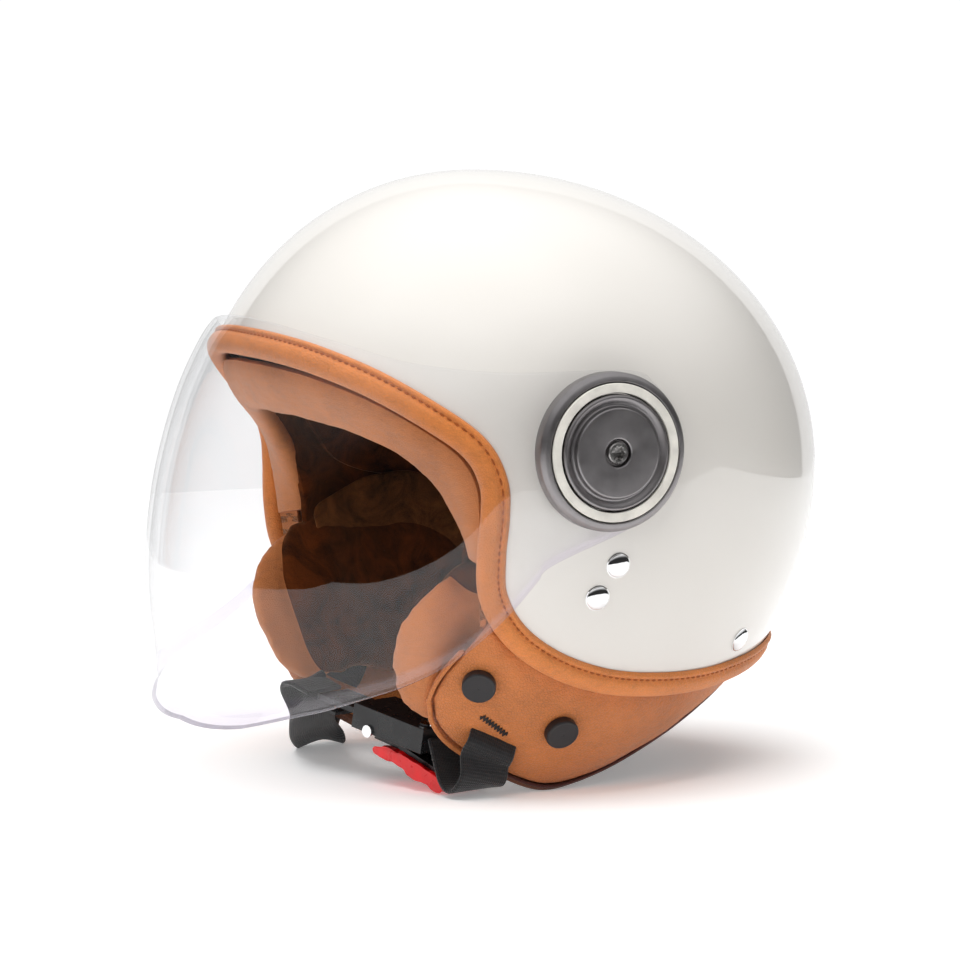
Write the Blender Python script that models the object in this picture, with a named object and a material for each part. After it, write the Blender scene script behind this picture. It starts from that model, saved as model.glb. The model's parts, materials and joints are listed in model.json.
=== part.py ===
"""Open face motorcycle helmet: shell, liner, pads, clear visor on two pivots, and a ratchet chin strap.

Axes: +X is the wearer's left, -Y is forward, +Z is up. Lengths are in metres.
The outer surface of the shell is one formula, skin(), and every layer is a depth below it.
"""

import bmesh
import bpy
import numpy as np
from mathutils import Vector

# ---------------------------------------------------------------- driving dimensions
CENTRE = np.array([0.0, 0.0049, 0.1220])   # middle of the shell above the base plane
HALF_WIDTH = 0.124
HALF_FRONT = 0.117
HALF_REAR = 0.1485
WIDEST_Y = -0.011                          # the shell is widest here, so the pivots sit flat
WIDEST_Z = 0.022
CROWN = 0.128
LOWER_LENGTH_FALL = 0.1325                 # where the front-to-back outline would close below
UPPER_WIDTH_FALL = CROWN - WIDEST_Z
LOWER_WIDTH_FALL = 0.184

SHELL_WALL = 0.0034
FOAM_OUTER = 0.0052
FOAM_INNER = 0.0236
LINER_OUTER = 0.0256
LINER_INNER = 0.0306
POLE = np.array([0.0, 0.72, 0.69])         # the layers' meridians fan out from here

TRIM_PROUD = 0.0024
TRIM_BAND = 0.0105
GAP = 0.0004
EDGE_STEPS = 60                            # points round the opening, the same for the shell and its trim

HINGE_Y = WIDEST_Y
HINGE_Z = WIDEST_Z
VISOR_HALF_WIDTH = 0.1292
VISOR_ROUNDNESS = 2.12
VISOR_FLARE = 0.0070                       # how much wider the visor gets beside the cheeks
VISOR_NARROWING = 0.72                     # share of the shell's narrowing that the visor follows above them
VISOR_WALL = 0.0020
VISOR_LOBE = 0.034
VISOR_BORE = 0.0092
LOBE_REACH = 0.130                         # the lobes are round about the pivots, with this front-to-back size

BEZEL_RADIUS = 0.0318
RING_OUTER = 0.0276
RING_INNER = 0.0238
CAP_RADIUS = 0.0234
CAP_PLATEAU = 0.0182
SCREW_HEAD = 0.0046

RIVET_RADIUS = 0.0053
SNAP_RADIUS = 0.0069
WEB_WIDTH = 0.020
WEB_THICK = 0.0017

# Azimuth from the front in degrees and height in metres, from the brow to the nape, of the opening's edge.
CREST = [(0, 0.0556), (14, 0.0548), (28, 0.0516), (43.6, 0.0435), (56, 0.0315), (63.6, 0.0205),
         (66.6, 0.009), (66.9, -0.003), (66.2, -0.020), (66.6, -0.037), (70.8, -0.0535),
         (79.3, -0.0672), (93.5, -0.0778), (110.5, -0.0820), (124, -0.0825), (141, -0.0800),
         (160, -0.0760), (180, -0.074)]
# The same for the foam liner's outer edge, which stops above the cheek pads.
FOAM_EDGE = [(0, 0.0655), (14, 0.0645), (28, 0.0605), (44, 0.0525), (58, 0.0405), (68, 0.026),
             (73, 0.010), (75, -0.002), (80, -0.009), (92, -0.011), (110, -0.014), (126, -0.027),
             (142, -0.050), (160, -0.058), (180, -0.060)]
FOAM_INNER_EDGE = [(0, 0.051), (13, 0.0505), (26, 0.048), (39, 0.041), (50, 0.031), (58, 0.020),
                   (64, 0.008), (69, -0.002), (77, -0.008), (92, -0.011), (110, -0.014), (126, -0.027),
                   (142, -0.050), (160, -0.058), (180, -0.060)]
LINER_EDGE = [(0, 0.056), (13, 0.0555), (26, 0.053), (39, 0.046), (51, 0.036), (61, 0.024),
              (68, 0.011), (74, -0.001), (82, -0.008), (94, -0.012), (110, -0.013), (126, -0.024),
              (142, -0.044), (160, -0.052), (180, -0.054)]
# Inner lip of the brow pad, at depth LIP_DEPTH, facing the same stretch of the crest.
LIP_DEPTH = 0.024
BROW_CREST = [(0, 0.0556), (14, 0.0548), (28, 0.0516), (43.6, 0.0435), (56, 0.0315), (63.6, 0.0205),
              (66.6, 0.009), (66.9, -0.003), (66.4, -0.016), (66.1, -0.025)]
BROW_LIP = [(0, 0.0360), (12, 0.0357), (24, 0.0332), (36.5, 0.0275), (46, 0.0195), (52, 0.011),
            (56, 0.003), (59, -0.006), (62, -0.016), (64, -0.0245)]
# Neck roll: its top line under the trim and its bottom line, from the front of the cheek to the nape.
ROLL_TOP = [(69.0, -0.0490), (73, -0.0580), (79.3, -0.0668), (93.5, -0.0775), (110.5, -0.0820),
            (124, -0.0822), (141, -0.0797), (160, -0.0757), (180, -0.0737)]
ROLL_BOTTOM = [(68.0, -0.0520), (57.0, -0.0760), (54.6, -0.0915), (62, -0.1070), (86, -0.1226),
               (109, -0.1190), (129.7, -0.1066), (150, -0.0905), (180, -0.0835)]
ROLL_OUTER = 0.0036
ROLL_INNER = 0.0082
# Outline of the cheek cushion.
CHEEK_OUTLINE = [(67, -0.0275), (60, -0.029), (53.5, -0.040), (48.5, -0.052), (45, -0.064),
                 (43.8, -0.075), (45, -0.088), (50, -0.098), (58, -0.1045), (70, -0.107), (86, -0.109),
                 (101, -0.106), (112, -0.096), (117, -0.078), (116, -0.056), (110, -0.036),
                 (97, -0.027), (82, -0.027)]
CHEEK_MIDDLE = (80, -0.068)
CORE_OUTER = 0.0136
CORE_INNER = 0.0202
RIVETS = {"strap_rivet_upper": (94.1, -0.0248), "strap_rivet_lower": (90.3, -0.0378),
          "rear_rivet": (133.2, -0.0630)}
SNAPS = {"front": (66.5, -0.0752), "rear": (88.0, -0.0966)}
SLOT = (70.6, -0.0992)                     # where the strap comes out through the neck roll
# Side outline of the visor's front, forward of the pivots: (y, z) from the brow down to the chin lip.
VISOR_FRONT = [(-0.1130, 0.0716), (-0.1211, 0.0604), (-0.1324, 0.0356), (-0.1423, 0.0021),
               (-0.1468, -0.0313), (-0.1464, -0.0565), (-0.1438, -0.0760), (-0.1430, -0.0880),
               (-0.1434, -0.0985)]
VISOR_TOP_EDGE = [(-0.0349, 0.0541), (-0.0541, 0.0543), (-0.0705, 0.0556), (-0.0844, 0.0579),
                  (-0.0968, 0.0626), (-0.1075, 0.0671), (-0.1124, 0.0700)]
VISOR_BOTTOM_EDGE = [(-0.0315, -0.0234), (-0.0379, -0.0302), (-0.0465, -0.0412), (-0.0578, -0.0531),
                     (-0.0690, -0.0622), (-0.0860, -0.0714), (-0.1100, -0.0803), (-0.1300, -0.0885),
                     (-0.1432, -0.0942)]

# ---------------------------------------------------------------- chin strap and buckle
BUCKLE = np.array([0.0360, -0.0570, -0.0972])           # middle of the buckle, from the shell's centre
BUCKLE_ALONG = np.array([0.90, 0.36, -0.18])            # from the ratchet's side to the anchored side
BUCKLE_LENGTH = 0.040
BUCKLE_WIDTH = 0.024
BUCKLE_HEIGHT = 0.0104


# ---------------------------------------------------------------- the shell's surface
def half_width(z):
    """Half of the shell's width at height z."""
    fall = np.where(z > WIDEST_Z, UPPER_WIDTH_FALL, LOWER_WIDTH_FALL)
    return HALF_WIDTH * np.sqrt(np.clip(1 - ((z - WIDEST_Z) / fall) ** 2, 1e-9, None))


def length_factor(z):
    """How much of the full length is left at height z."""
    fall = np.where(z > 0, CROWN, LOWER_LENGTH_FALL)
    return np.sqrt(np.clip(1 - (z / fall) ** 2, 1e-9, None))


def outside(p):
    """0 on the outer surface, below 0 inside the shell and above 0 outside it."""
    x, y, z = p[..., 0], p[..., 1] - WIDEST_Y, p[..., 2]
    reach = np.where(y < 0, HALF_FRONT, HALF_REAR) * length_factor(z)
    return (x / half_width(z)) ** 2 + (y / reach) ** 2 - 1


def skin(azimuth, z):
    """Point of the outer surface at an azimuth in degrees (0 front, 90 left) and a height."""
    angle = np.radians(np.asarray(azimuth, float))
    z = np.asarray(z, float) + 0 * angle
    s, c = np.sin(angle), np.cos(angle)
    reach = np.where(c > 0, HALF_FRONT, HALF_REAR) * length_factor(z)
    radius = 1 / np.sqrt((s / half_width(z)) ** 2 + (c / reach) ** 2)
    return np.stack([radius * s, WIDEST_Y - radius * c, z], -1)


def skin_along(p):
    """Where the ray from the middle of the shell through p meets the outer surface."""
    middle = np.array([0, WIDEST_Y, 0])
    ray = p - middle
    ray = ray / np.linalg.norm(ray, axis=-1, keepdims=True)
    near = np.zeros(ray.shape[:-1])
    far = near + 0.2
    for _ in range(40):
        half = (near + far) / 2
        beyond = outside(middle + ray * half[..., None]) > 0
        far = np.where(beyond, half, far)
        near = np.where(beyond, near, half)
    return middle + ray * near[..., None]


def normal(p):
    """Outward direction of the surface at p."""
    step = 1e-6
    slope = [outside(p + step * axis) - outside(p - step * axis) for axis in np.eye(3)]
    slope = np.stack(slope, -1)
    return slope / np.linalg.norm(slope, axis=-1, keepdims=True)


def below(p, depth):
    """The point at a depth under the surface point p; a negative depth stands proud."""
    return p - np.asarray(depth)[..., None] * normal(p)


# ---------------------------------------------------------------- curves
def spline(points, count, closed=False):
    """A smooth curve through the points, evenly spaced, with count points."""
    points = np.asarray(points, float)
    if closed:
        padded = np.concatenate([points[-1:], points, points[:2]])
    else:
        padded = np.concatenate([2 * points[:1] - points[1:2], points, 2 * points[-1:] - points[-2:-1]])
    t = np.linspace(0, 1, 24, endpoint=False)[:, None]
    pieces = []
    for a, b, c, d in zip(padded, padded[1:], padded[2:], padded[3:]):
        pieces.append(b + t / 2 * (c - a + t * (2 * a - 5 * b + 4 * c - d + t * (3 * (b - c) + d - a))))
    dense = np.concatenate(pieces + [points[:1] if closed else points[-1:]])
    run = np.concatenate([[0], np.cumsum(np.linalg.norm(np.diff(dense, axis=0), axis=1))])
    at = np.linspace(0, run[-1], count, endpoint=not closed)
    return np.stack([np.interp(at, run, dense[:, i]) for i in range(dense.shape[1])], 1)


def edge_loop(half, count):
    """A closed loop on the skin from the points of its left half, brow to nape."""
    left = [skin(*point) for point in half]
    right = [skin(-azimuth, z) for azimuth, z in half[-2:0:-1]]
    return skin_along(spline(left + right, count, closed=True))


def both_sides(half):
    """An open line over the front from the left end to the right end of a half list."""
    return list(half[::-1]) + [(-azimuth, z) for azimuth, z in half[1:]]


def span(half, count):
    """That open line as points of the skin, evenly spaced."""
    return skin_along(spline([skin(*point) for point in both_sides(half)], count))


def outward(loop):
    """Direction in the surface across a closed loop, pointing into the opening."""
    tangent = np.roll(loop, -1, 0) - np.roll(loop, 1, 0)
    across = np.cross(tangent, normal(loop))
    return across / np.linalg.norm(across, axis=1, keepdims=True)


# ---------------------------------------------------------------- meshes
def material(name, colour, roughness, metallic=0.0, alpha=1.0):
    """A Principled material with one colour."""
    made = bpy.data.materials.new(name)
    made.use_nodes = True
    shader = made.node_tree.nodes["Principled BSDF"]
    shader.inputs["Base Color"].default_value = (*colour, 1)
    shader.inputs["Roughness"].default_value = roughness
    shader.inputs["Metallic"].default_value = metallic
    shader.inputs["Alpha"].default_value = alpha
    made.diffuse_color = (*colour, 1)
    return made


def add(name, points, faces, look, parent=None, sharp=40):
    """A named object from points measured from the shell's centre."""
    mesh = bpy.data.meshes.new(name)
    origin = CENTRE if parent is None else np.array(parent.location)
    places = np.asarray(points, float).reshape(-1, 3) + CENTRE - origin
    mesh.from_pydata(places.tolist(), [], faces)
    work = bmesh.new()
    work.from_mesh(mesh)
    bmesh.ops.remove_doubles(work, verts=work.verts, dist=1e-6)
    bmesh.ops.dissolve_degenerate(work, edges=work.edges, dist=1e-7)
    bmesh.ops.recalc_face_normals(work, faces=work.faces)
    work.to_mesh(mesh)
    work.free()
    mesh.shade_smooth()
    mesh.set_sharp_from_angle(angle=np.radians(sharp))
    mesh.materials.append(look)
    made = bpy.data.objects.new(name, mesh)
    bpy.context.scene.collection.objects.link(made)
    if parent is None:
        made.location = Vector(CENTRE)
    else:
        made.parent = parent
    return made


def loft(sections, ring):
    """Points and faces of a body swept through closed sections; ring joins the last to the first."""
    sections = np.asarray(sections, float)
    count, sides = sections.shape[:2]
    faces = []
    for i in range(count if ring else count - 1):
        j = (i + 1) % count
        for a in range(sides):
            b = (a + 1) % sides
            faces.append([i * sides + a, i * sides + b, j * sides + b, j * sides + a])
    if not ring:
        faces.append(list(range(sides))[::-1])
        faces.append([(count - 1) * sides + a for a in range(sides)])
    return sections.reshape(-1, 3), faces


def turned(profile, place, sides=24):
    """Points and faces of a closed profile of (height, radius) turned about a placement's first axis."""
    origin, along, u, v = place
    angle = np.linspace(0, 2 * np.pi, sides, endpoint=False)
    profile = np.asarray(profile, float)
    spokes = np.cos(angle)[:, None, None] * u + np.sin(angle)[:, None, None] * v
    rings = origin + profile[None, :, :1] * along + profile[None, :, 1:] * spokes
    return loft(rings, ring=True)


def square_to(along, hint=(0, 0, 1)):
    """Three unit directions, the first of them along."""
    along = np.asarray(along, float) / np.linalg.norm(along)
    u = np.cross(hint, along)
    u = u / np.linalg.norm(u)
    return along, u, np.cross(along, u)


def on_skin(azimuth, z, depth=0.0):
    """A placement on the skin whose first axis points out of the shell."""
    p = skin(azimuth, z)
    along, u, v = square_to(normal(p))
    return below(p, depth), along, u, v


def on_pivot(side):
    """A placement on the visor's axis, pointing out of the shell on the left (1) or right (-1)."""
    along, u, v = square_to((side, 0, 0))
    return np.array([0, HINGE_Y, HINGE_Z]), along, u, v


def block(place, near, far):
    """Points and faces of a box between two corners given along a placement's axes."""
    origin, *axes = place
    corners = []
    for a in (near[0], far[0]):
        for b, c in ((near[1], near[2]), (far[1], near[2]), (far[1], far[2]), (near[1], far[2])):
            corners.append(origin + a * axes[0] + b * axes[1] + c * axes[2])
    return loft(np.asarray(corners).reshape(2, 4, 3), ring=False)


def together(*bodies):
    """Several bodies as one list of points and faces, for a cutter."""
    points, faces, start = [], [], 0
    for body_points, body_faces in bodies:
        body_points = np.asarray(body_points).reshape(-1, 3)
        points.append(body_points)
        faces += [[start + i for i in face] for face in body_faces]
        start += len(body_points)
    return np.concatenate(points), faces


def boolean(target, name, body, operation="DIFFERENCE"):
    """Cut a body out of an object, or join it on, with a hidden tool object."""
    tool = add(name, *body, look=target.data.materials[0], parent=target.parent)
    tool.hide_render = True
    tool.hide_viewport = True
    tool.display_type = "WIRE"
    modifier = target.modifiers.new(name, "BOOLEAN")
    modifier.object = tool
    modifier.operation = operation
    modifier.solver = "EXACT"


# ---------------------------------------------------------------- shell, foam and linings
def dome(outer_edge, inner_edge, depth_outer, depth_inner, rings):
    """A bowl between two depths, closed round the rim that the two edge loops give."""
    middle = np.array([0, WIDEST_Y, 0])
    pole = POLE / np.linalg.norm(POLE)

    def bowl(edge, depth):
        to_edge = edge - middle
        to_edge = to_edge / np.linalg.norm(to_edge, axis=1, keepdims=True)
        full = np.arccos(np.clip(to_edge @ pole, -1, 1))[:, None]
        rows = []
        for part in np.linspace(0, 1, rings + 1)[1:]:
            turn = (np.sin((1 - part) * full) * pole + np.sin(part * full) * to_edge) / np.sin(full)
            rows.append(below(skin_along(middle + 0.1 * turn), depth))
        return np.array(rows)

    top = below(skin_along(middle + 0.1 * pole), depth_outer)
    bottom = below(skin_along(middle + 0.1 * pole), depth_inner)
    rows = np.concatenate([bowl(outer_edge, depth_outer), bowl(inner_edge, depth_inner)[::-1]])
    count = len(outer_edge)
    points = np.concatenate([[top], rows.reshape(-1, 3), [bottom]])
    faces = []
    for j in range(len(rows) - 1):
        for i in range(count):
            k = (i + 1) % count
            a = 1 + j * count
            faces.append([a + i, a + k, a + count + k, a + count + i])
    last = 1 + (len(rows) - 1) * count
    for i in range(count):
        k = (i + 1) % count
        faces.append([0, 1 + k, 1 + i])
        faces.append([len(points) - 1, last + i, last + k])
    return points, faces


def shell_and_foam(looks):
    """The hard shell, the foam liner inside it and the comfort lining inside that."""
    crest = edge_loop(CREST, EDGE_STEPS)
    rim = skin_along(crest - 0.0026 * outward(crest))
    shell = add("outer_shell", *dome(rim, rim, 0.0, SHELL_WALL, 9), looks["shell"])
    holes = [turned([(-0.012, 0), (0.006, 0), (0.006, 0.0024), (-0.012, 0.0024)], on_skin(side * a, z), 12)
             for a, z in RIVETS.values() for side in (1, -1)]
    holes += [turned([(0.110, 0), (0.130, 0), (0.130, 0.0042), (0.110, 0.0042)], on_pivot(side), 16)
              for side in (1, -1)]
    boolean(shell, "shell_holes", together(*holes))

    outer = edge_loop(FOAM_EDGE, 44)
    inner = edge_loop(FOAM_INNER_EDGE, 44)
    foam = add("eps_liner", *dome(outer, inner, FOAM_OUTER, FOAM_INNER, 7), looks["foam"])
    wells = [turned([(0.1075, 0), (0.124, 0), (0.124, 0.0105), (0.1075, 0.0105)], on_pivot(side), 16)
             for side in (1, -1)]
    boolean(foam, "nut_wells", together(*wells))

    edge = edge_loop(LINER_EDGE, 40)
    add("comfort_liner", *dome(edge, edge, LINER_OUTER, LINER_INNER, 6), looks["suede"])


def edge_trim(looks):
    """The leather band folded over the shell's edge, and the bead along its outer border."""
    crest = edge_loop(CREST, EDGE_STEPS)
    across = outward(crest)

    def strip(section):
        rows = [below(skin_along(crest + reach * across), depth) for reach, depth in section]
        return loft(np.stack(rows, 1), ring=True)

    band = [(-TRIM_BAND, -GAP), (-TRIM_BAND, -0.0015), (-0.0085, -TRIM_PROUD), (-0.0035, -TRIM_PROUD),
            (0.0, 0.0010), (-0.0004, 0.0048), (-0.0022, 0.0062), (-0.0052, 0.0060),
            (-0.0052, SHELL_WALL + 0.0006), (-0.0018, SHELL_WALL + 0.0006), (-0.0018, -GAP)]
    add("edge_trim", *strip(band), looks["leather"])
    bead = [(-TRIM_BAND - 0.0004, -GAP), (-TRIM_BAND - 0.0019, -GAP), (-TRIM_BAND - 0.0019, -0.0012),
            (-TRIM_BAND - 0.0004, -0.0012)]
    add("trim_bead", *strip(bead), looks["bead"])


def brow_pad(looks):
    """The padded band inside the opening, from temple to temple."""
    count = 34
    crest = span(BROW_CREST, count)
    lip = below(span(BROW_LIP, count), np.full(count, LIP_DEPTH))
    run = lip - crest
    reach = np.linalg.norm(run, axis=1, keepdims=True)
    run = run / reach
    tangent = np.gradient(crest, axis=0)
    face = np.cross(run, tangent)
    face = face / np.linalg.norm(face, axis=1, keepdims=True)
    face = face * np.sign(np.sum(face * normal(crest), axis=1, keepdims=True) + 1e-9)
    forward = face * np.sign(-face[count // 2, 1])
    section = [(0.0072, -0.0012), (0.013, 0.0010), (0.020, 0.0012), (None, -0.0002), (None, -0.0045),
               (None, -0.0085), (0.016, -0.0075), (0.0085, -0.0060)]
    offsets = {3: -0.001, 4: 0.0022, 5: -0.002}
    rows = []
    for i, (along, lift) in enumerate(section):
        far = reach + offsets[i] if along is None else np.full_like(reach, along)
        rows.append(crest + far * run + lift * forward)
    add("brow_pad", *loft(np.stack(rows, 1), ring=False), looks["leather_pad"])


# ---------------------------------------------------------------- cheek pads and neck roll
def pillow(side, outline, middle, shallow, deep, count, rings):
    """A cushion in depth under the skin, rounded at its rim, on the left (1) or right (-1)."""
    rim = spline(outline, count, closed=True)
    middle = np.array(middle)
    shares = np.linspace(0, 1, rings + 1)[1:]
    puff = (1 - shares ** 4) ** 0.5
    rows = []
    for share, rise in list(zip(shares, puff)) + list(zip(shares[-2::-1], -puff[-2::-1])):
        spot = middle + share * (rim - middle)
        top, bottom = shallow(spot[:, 0]), deep(spot[:, 0])
        depth = (top + bottom) / 2 - rise * (bottom - top) / 2
        rows.append(below(skin(side * spot[:, 0], spot[:, 1]), depth))
    centre = skin(side * middle[0], middle[1])
    ends = [below(centre, shallow(middle[0])), below(centre, deep(middle[0]))]
    rows = np.array(rows)
    points = np.concatenate([[ends[0]], rows.reshape(-1, 3), [ends[1]]])
    faces = []
    for j in range(len(rows) - 1):
        for i in range(count):
            k = (i + 1) % count
            a = 1 + j * count
            faces.append([a + i, a + k, a + count + k, a + count + i])
    last = 1 + (len(rows) - 1) * count
    for i in range(count):
        k = (i + 1) % count
        faces.append([0, 1 + k, 1 + i])
        faces.append([len(points) - 1, last + i, last + k])
    return points, faces


def ease(value, start, end):
    """0 before start, 1 after end, smooth between."""
    t = np.clip((value - start) / (end - start), 0, 1)
    return t * t * (3 - 2 * t)


def cushion_top(azimuth):
    """Depth of the cheek cushion's outer face: nearly flush in front of the neck roll, deep behind it."""
    return 0.002 + 0.0192 * ease(azimuth, 50, 66)


def cushion_bottom(azimuth):
    """Depth of the cheek cushion's face against the cheek."""
    return 0.014 + 0.022 * ease(azimuth, 44, 64)


def core_top(azimuth):
    """Depth of the foam core's outer face."""
    return CORE_OUTER + 0 * azimuth


def core_bottom(azimuth):
    """Depth of the foam core's inner face."""
    return CORE_INNER + 0 * azimuth


def cheek_pads(looks):
    """Each cheek's foam core and the cushion that covers it."""
    core_outline = [(90 + 0.52 * (a - 80), -0.064 + 0.62 * (z + 0.068)) for a, z in CHEEK_OUTLINE]
    for side, hand in ((1, "left"), (-1, "right")):
        cushion = pillow(side, CHEEK_OUTLINE, CHEEK_MIDDLE, cushion_top, cushion_bottom, 24, 4)
        add(f"cheek_pad_{hand}", *cushion, looks["leather_pad"])
        core = pillow(side, core_outline, (90, -0.064), core_top, core_bottom, 20, 3)
        add(f"cheek_core_{hand}", *core, looks["foam"])


def roll_lines(count):
    """Top and bottom lines of the neck roll on the skin, from the left cheek round the nape."""
    top = spline(ROLL_TOP, count)
    bottom = spline(ROLL_BOTTOM, count)
    right = top[-2::-1] * (-1, 1), bottom[-2::-1] * (-1, 1)
    return np.concatenate([top, right[0]]), np.concatenate([bottom, right[1]])


def neck_roll(looks):
    """The leather apron below the shell, its binding, its slots for the strap and its snaps."""
    top, bottom = roll_lines(21)
    sections = []
    levels = [(0.0, ROLL_OUTER + 0.0028), (0.12, ROLL_OUTER + 0.0022), (0.3, ROLL_OUTER + 0.0002),
              (0.55, ROLL_OUTER), (0.8, ROLL_OUTER), (0.96, ROLL_OUTER + 0.0004),
              (1.0, ROLL_OUTER + 0.002), (0.96, ROLL_INNER), (0.7, ROLL_INNER), (0.4, ROLL_INNER),
              (0.12, ROLL_INNER + 0.0002), (0.0, ROLL_INNER + 0.0004)]
    for share, depth in levels:
        spot = top + share * (bottom - top)
        sections.append(below(skin(spot[:, 0], spot[:, 1]), np.full(len(spot), depth)))
    roll = add("neck_roll", *loft(np.stack(sections, 1), ring=False), looks["leather"])

    cuts = []
    for side in (1, -1):
        origin, along, u, v = on_skin(side * SLOT[0], SLOT[1])
        tilt = np.radians(30) * side
        across = np.cos(tilt) * u - np.sin(tilt) * v
        cuts.append(block((origin, along, across, np.cross(along, across)),
                          (-0.016, -0.0114, -0.0032), (0.004, 0.0114, 0.0032)))
        for azimuth, z in SNAPS.values():
            cuts.append(turned([(-0.0060, 0), (0.004, 0), (0.004, 0.0022), (-0.0060, 0.0022)],
                               on_skin(side * azimuth, z), 10))
    boolean(roll, "roll_cuts", together(*cuts))

    lower = below(skin(bottom[:, 0], bottom[:, 1]), np.full(len(bottom), ROLL_OUTER + 0.0022))
    drop = lower - below(skin(top[:, 0], top[:, 1]), np.full(len(top), ROLL_OUTER + 0.0022))
    drop = drop / np.linalg.norm(drop, axis=1, keepdims=True)
    out = normal(skin(bottom[:, 0], bottom[:, 1]))
    spots = [0.0006, 0.0022, 0.0022, 0.0006], [0.0019, 0.0016, -0.0016, -0.0019]
    piping = [lower + fall * drop + rise * out for fall, rise in zip(*spots)]
    add("neck_binding", *loft(np.stack(piping, 1)[2:-2], ring=False), looks["binding"])

    for side, hand in ((1, "left"), (-1, "right")):
        for name, (azimuth, z) in SNAPS.items():
            profile = [(-0.0056, 0), (-0.0056, 0.0018), (-0.0032, 0.0018), (-0.0032, SNAP_RADIUS),
                       (-0.0008, SNAP_RADIUS), (0.0, 0.0060), (0.0, 0)]
            add(f"{name}_snap_{hand}", *turned(profile, on_skin(side * azimuth, z), 14), looks["snap"])


# ---------------------------------------------------------------- rivets and straps
def rivets(looks):
    """Domed rivets through the shell with their washers inside."""
    for side, hand in ((1, "left"), (-1, "right")):
        for name, (azimuth, z) in RIVETS.items():
            tail = -0.0090 if name != "rear_rivet" else -0.0050
            profile = [(tail, 0), (tail, 0.0019), (0.0003, 0.0019), (0.0003, RIVET_RADIUS),
                       (0.0010, RIVET_RADIUS - 0.0003), (0.0019, 0.0030), (0.0022, 0)]
            place = on_skin(side * azimuth, z)
            add(f"{name}_{hand}", *turned(profile, place, 14), looks["chrome"])
            if name != "rear_rivet":
                washer = [(tail, 0.0023), (tail, 0.0052), (tail + 0.0010, 0.0052), (tail + 0.0010, 0.0023)]
                add(f"{name}_washer_{hand}", *turned(washer, place, 12), looks["steel"])


def ribbon(path, widths, thick):
    """A flat band along a path, with its width direction given at each point."""
    path, widths = np.asarray(path), np.asarray(widths, float)
    tangent = np.gradient(path, axis=0)
    tangent = tangent / np.linalg.norm(tangent, axis=1, keepdims=True)
    widths = widths - np.sum(widths * tangent, axis=1, keepdims=True) * tangent
    widths = widths / np.linalg.norm(widths, axis=1, keepdims=True)
    flat = np.cross(tangent, widths)
    half, up = WEB_WIDTH / 2, thick / 2
    corners = [path + a * half * widths + b * up * flat for a, b in ((-1, -1), (1, -1), (1, 1), (-1, 1))]
    return loft(np.stack(corners, 1), ring=False)


def buckle_place():
    """The buckle's placement: along the strap, across it towards the back, and up."""
    along = BUCKLE_ALONG / np.linalg.norm(BUCKLE_ALONG)
    up = np.array([0, 0, 1.0]) - along[2] * along
    up = up / np.linalg.norm(up)
    return BUCKLE, along, np.cross(up, along), up


def at_buckle(along, across, up):
    """A point given in the buckle's own directions."""
    origin, *axes = buckle_place()
    return origin + along * axes[0] + across * axes[1] + up * axes[2]


def strap_route(side):
    """Route of one strap from its rivets down inside the shell and out through the slot."""
    stops = [(93.8, -0.0190, 0.0064), (92.6, -0.0300, 0.0064), (90.4, -0.0450, 0.0066),
             (87.5, -0.0600, 0.0092), (84.0, -0.0720, 0.0114), (78.5, -0.0860, 0.0116),
             (73.0, -0.0955, 0.0114), (71.0, -0.0988, 0.0085), (70.4, -0.0998, 0.0040),
             (69.8, -0.1012, -0.0004), (68.6, -0.1050, -0.0022)]
    route, widths = [], []
    for azimuth, z, depth in stops:
        p = skin(side * azimuth, z)
        route.append(below(p, depth))
        along, u, v = square_to(normal(p))
        lean = np.radians(30) * side * ease(-z, 0.045, 0.090)
        widths.append(np.cos(lean) * u - np.sin(lean) * v)
    return route, widths


def straps(looks):
    """The left strap to the buckle and the right strap under the chin to the ratchet."""
    route, widths = strap_route(1)
    end = BUCKLE_LENGTH / 2 + 0.0005
    route += [np.array([0.0830, -0.0450, -0.1135]), np.array([0.0750, -0.0470, -0.1185]),
              np.array([0.0665, -0.0485, -0.1160]), at_buckle(end + 0.0024, 0, 0)]
    across = buckle_place()[2]
    widths += [widths[-1] * 0.6 + across * 0.4, across, across, across]
    left = band_through(route, widths, 28)
    strap = add("strap_left", *left, looks["webbing"])
    cut_for_rivets(strap, 1)

    route, widths = strap_route(-1)
    route += [np.array([-0.0830, -0.0450, -0.1130]), np.array([-0.0745, -0.0480, -0.1185]),
              np.array([-0.0580, -0.0590, -0.1120]), np.array([-0.0320, -0.0710, -0.0985]),
              at_buckle(-0.062, 0, 0.0010), at_buckle(-0.0490, 0, 0.0006)]
    widths += [widths[-1] * 0.6 - across * 0.4] + 5 * [-across]
    strap = add("strap_right", *band_through(route, widths, 38), looks["webbing"])
    cut_for_rivets(strap, -1)


def band_through(route, widths, count):
    """A webbing body through hand-placed stops."""
    both = spline(np.concatenate([np.asarray(route), 0.01 * np.asarray(widths)], 1), count)
    return ribbon(both[:, :3], both[:, 3:], WEB_THICK)


def cut_for_rivets(strap, side):
    """Holes through a strap's top end for its two rivets."""
    holes = [turned([(-0.010, 0), (0.0, 0), (0.0, 0.0023), (-0.010, 0.0023)],
                    on_skin(side * RIVETS[name][0], RIVETS[name][1]), 12)
             for name in ("strap_rivet_upper", "strap_rivet_lower")]
    boolean(strap, f"{strap.name}_holes", together(*holes))


# ---------------------------------------------------------------- buckle
def joint_empty(name, point):
    """An empty on a joint's axis, which moving pieces hang from."""
    empty = bpy.data.objects.new(name, None)
    empty.location = Vector(point + CENTRE)
    empty.empty_display_size = 0.01
    bpy.context.scene.collection.objects.link(empty)
    return empty


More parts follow.
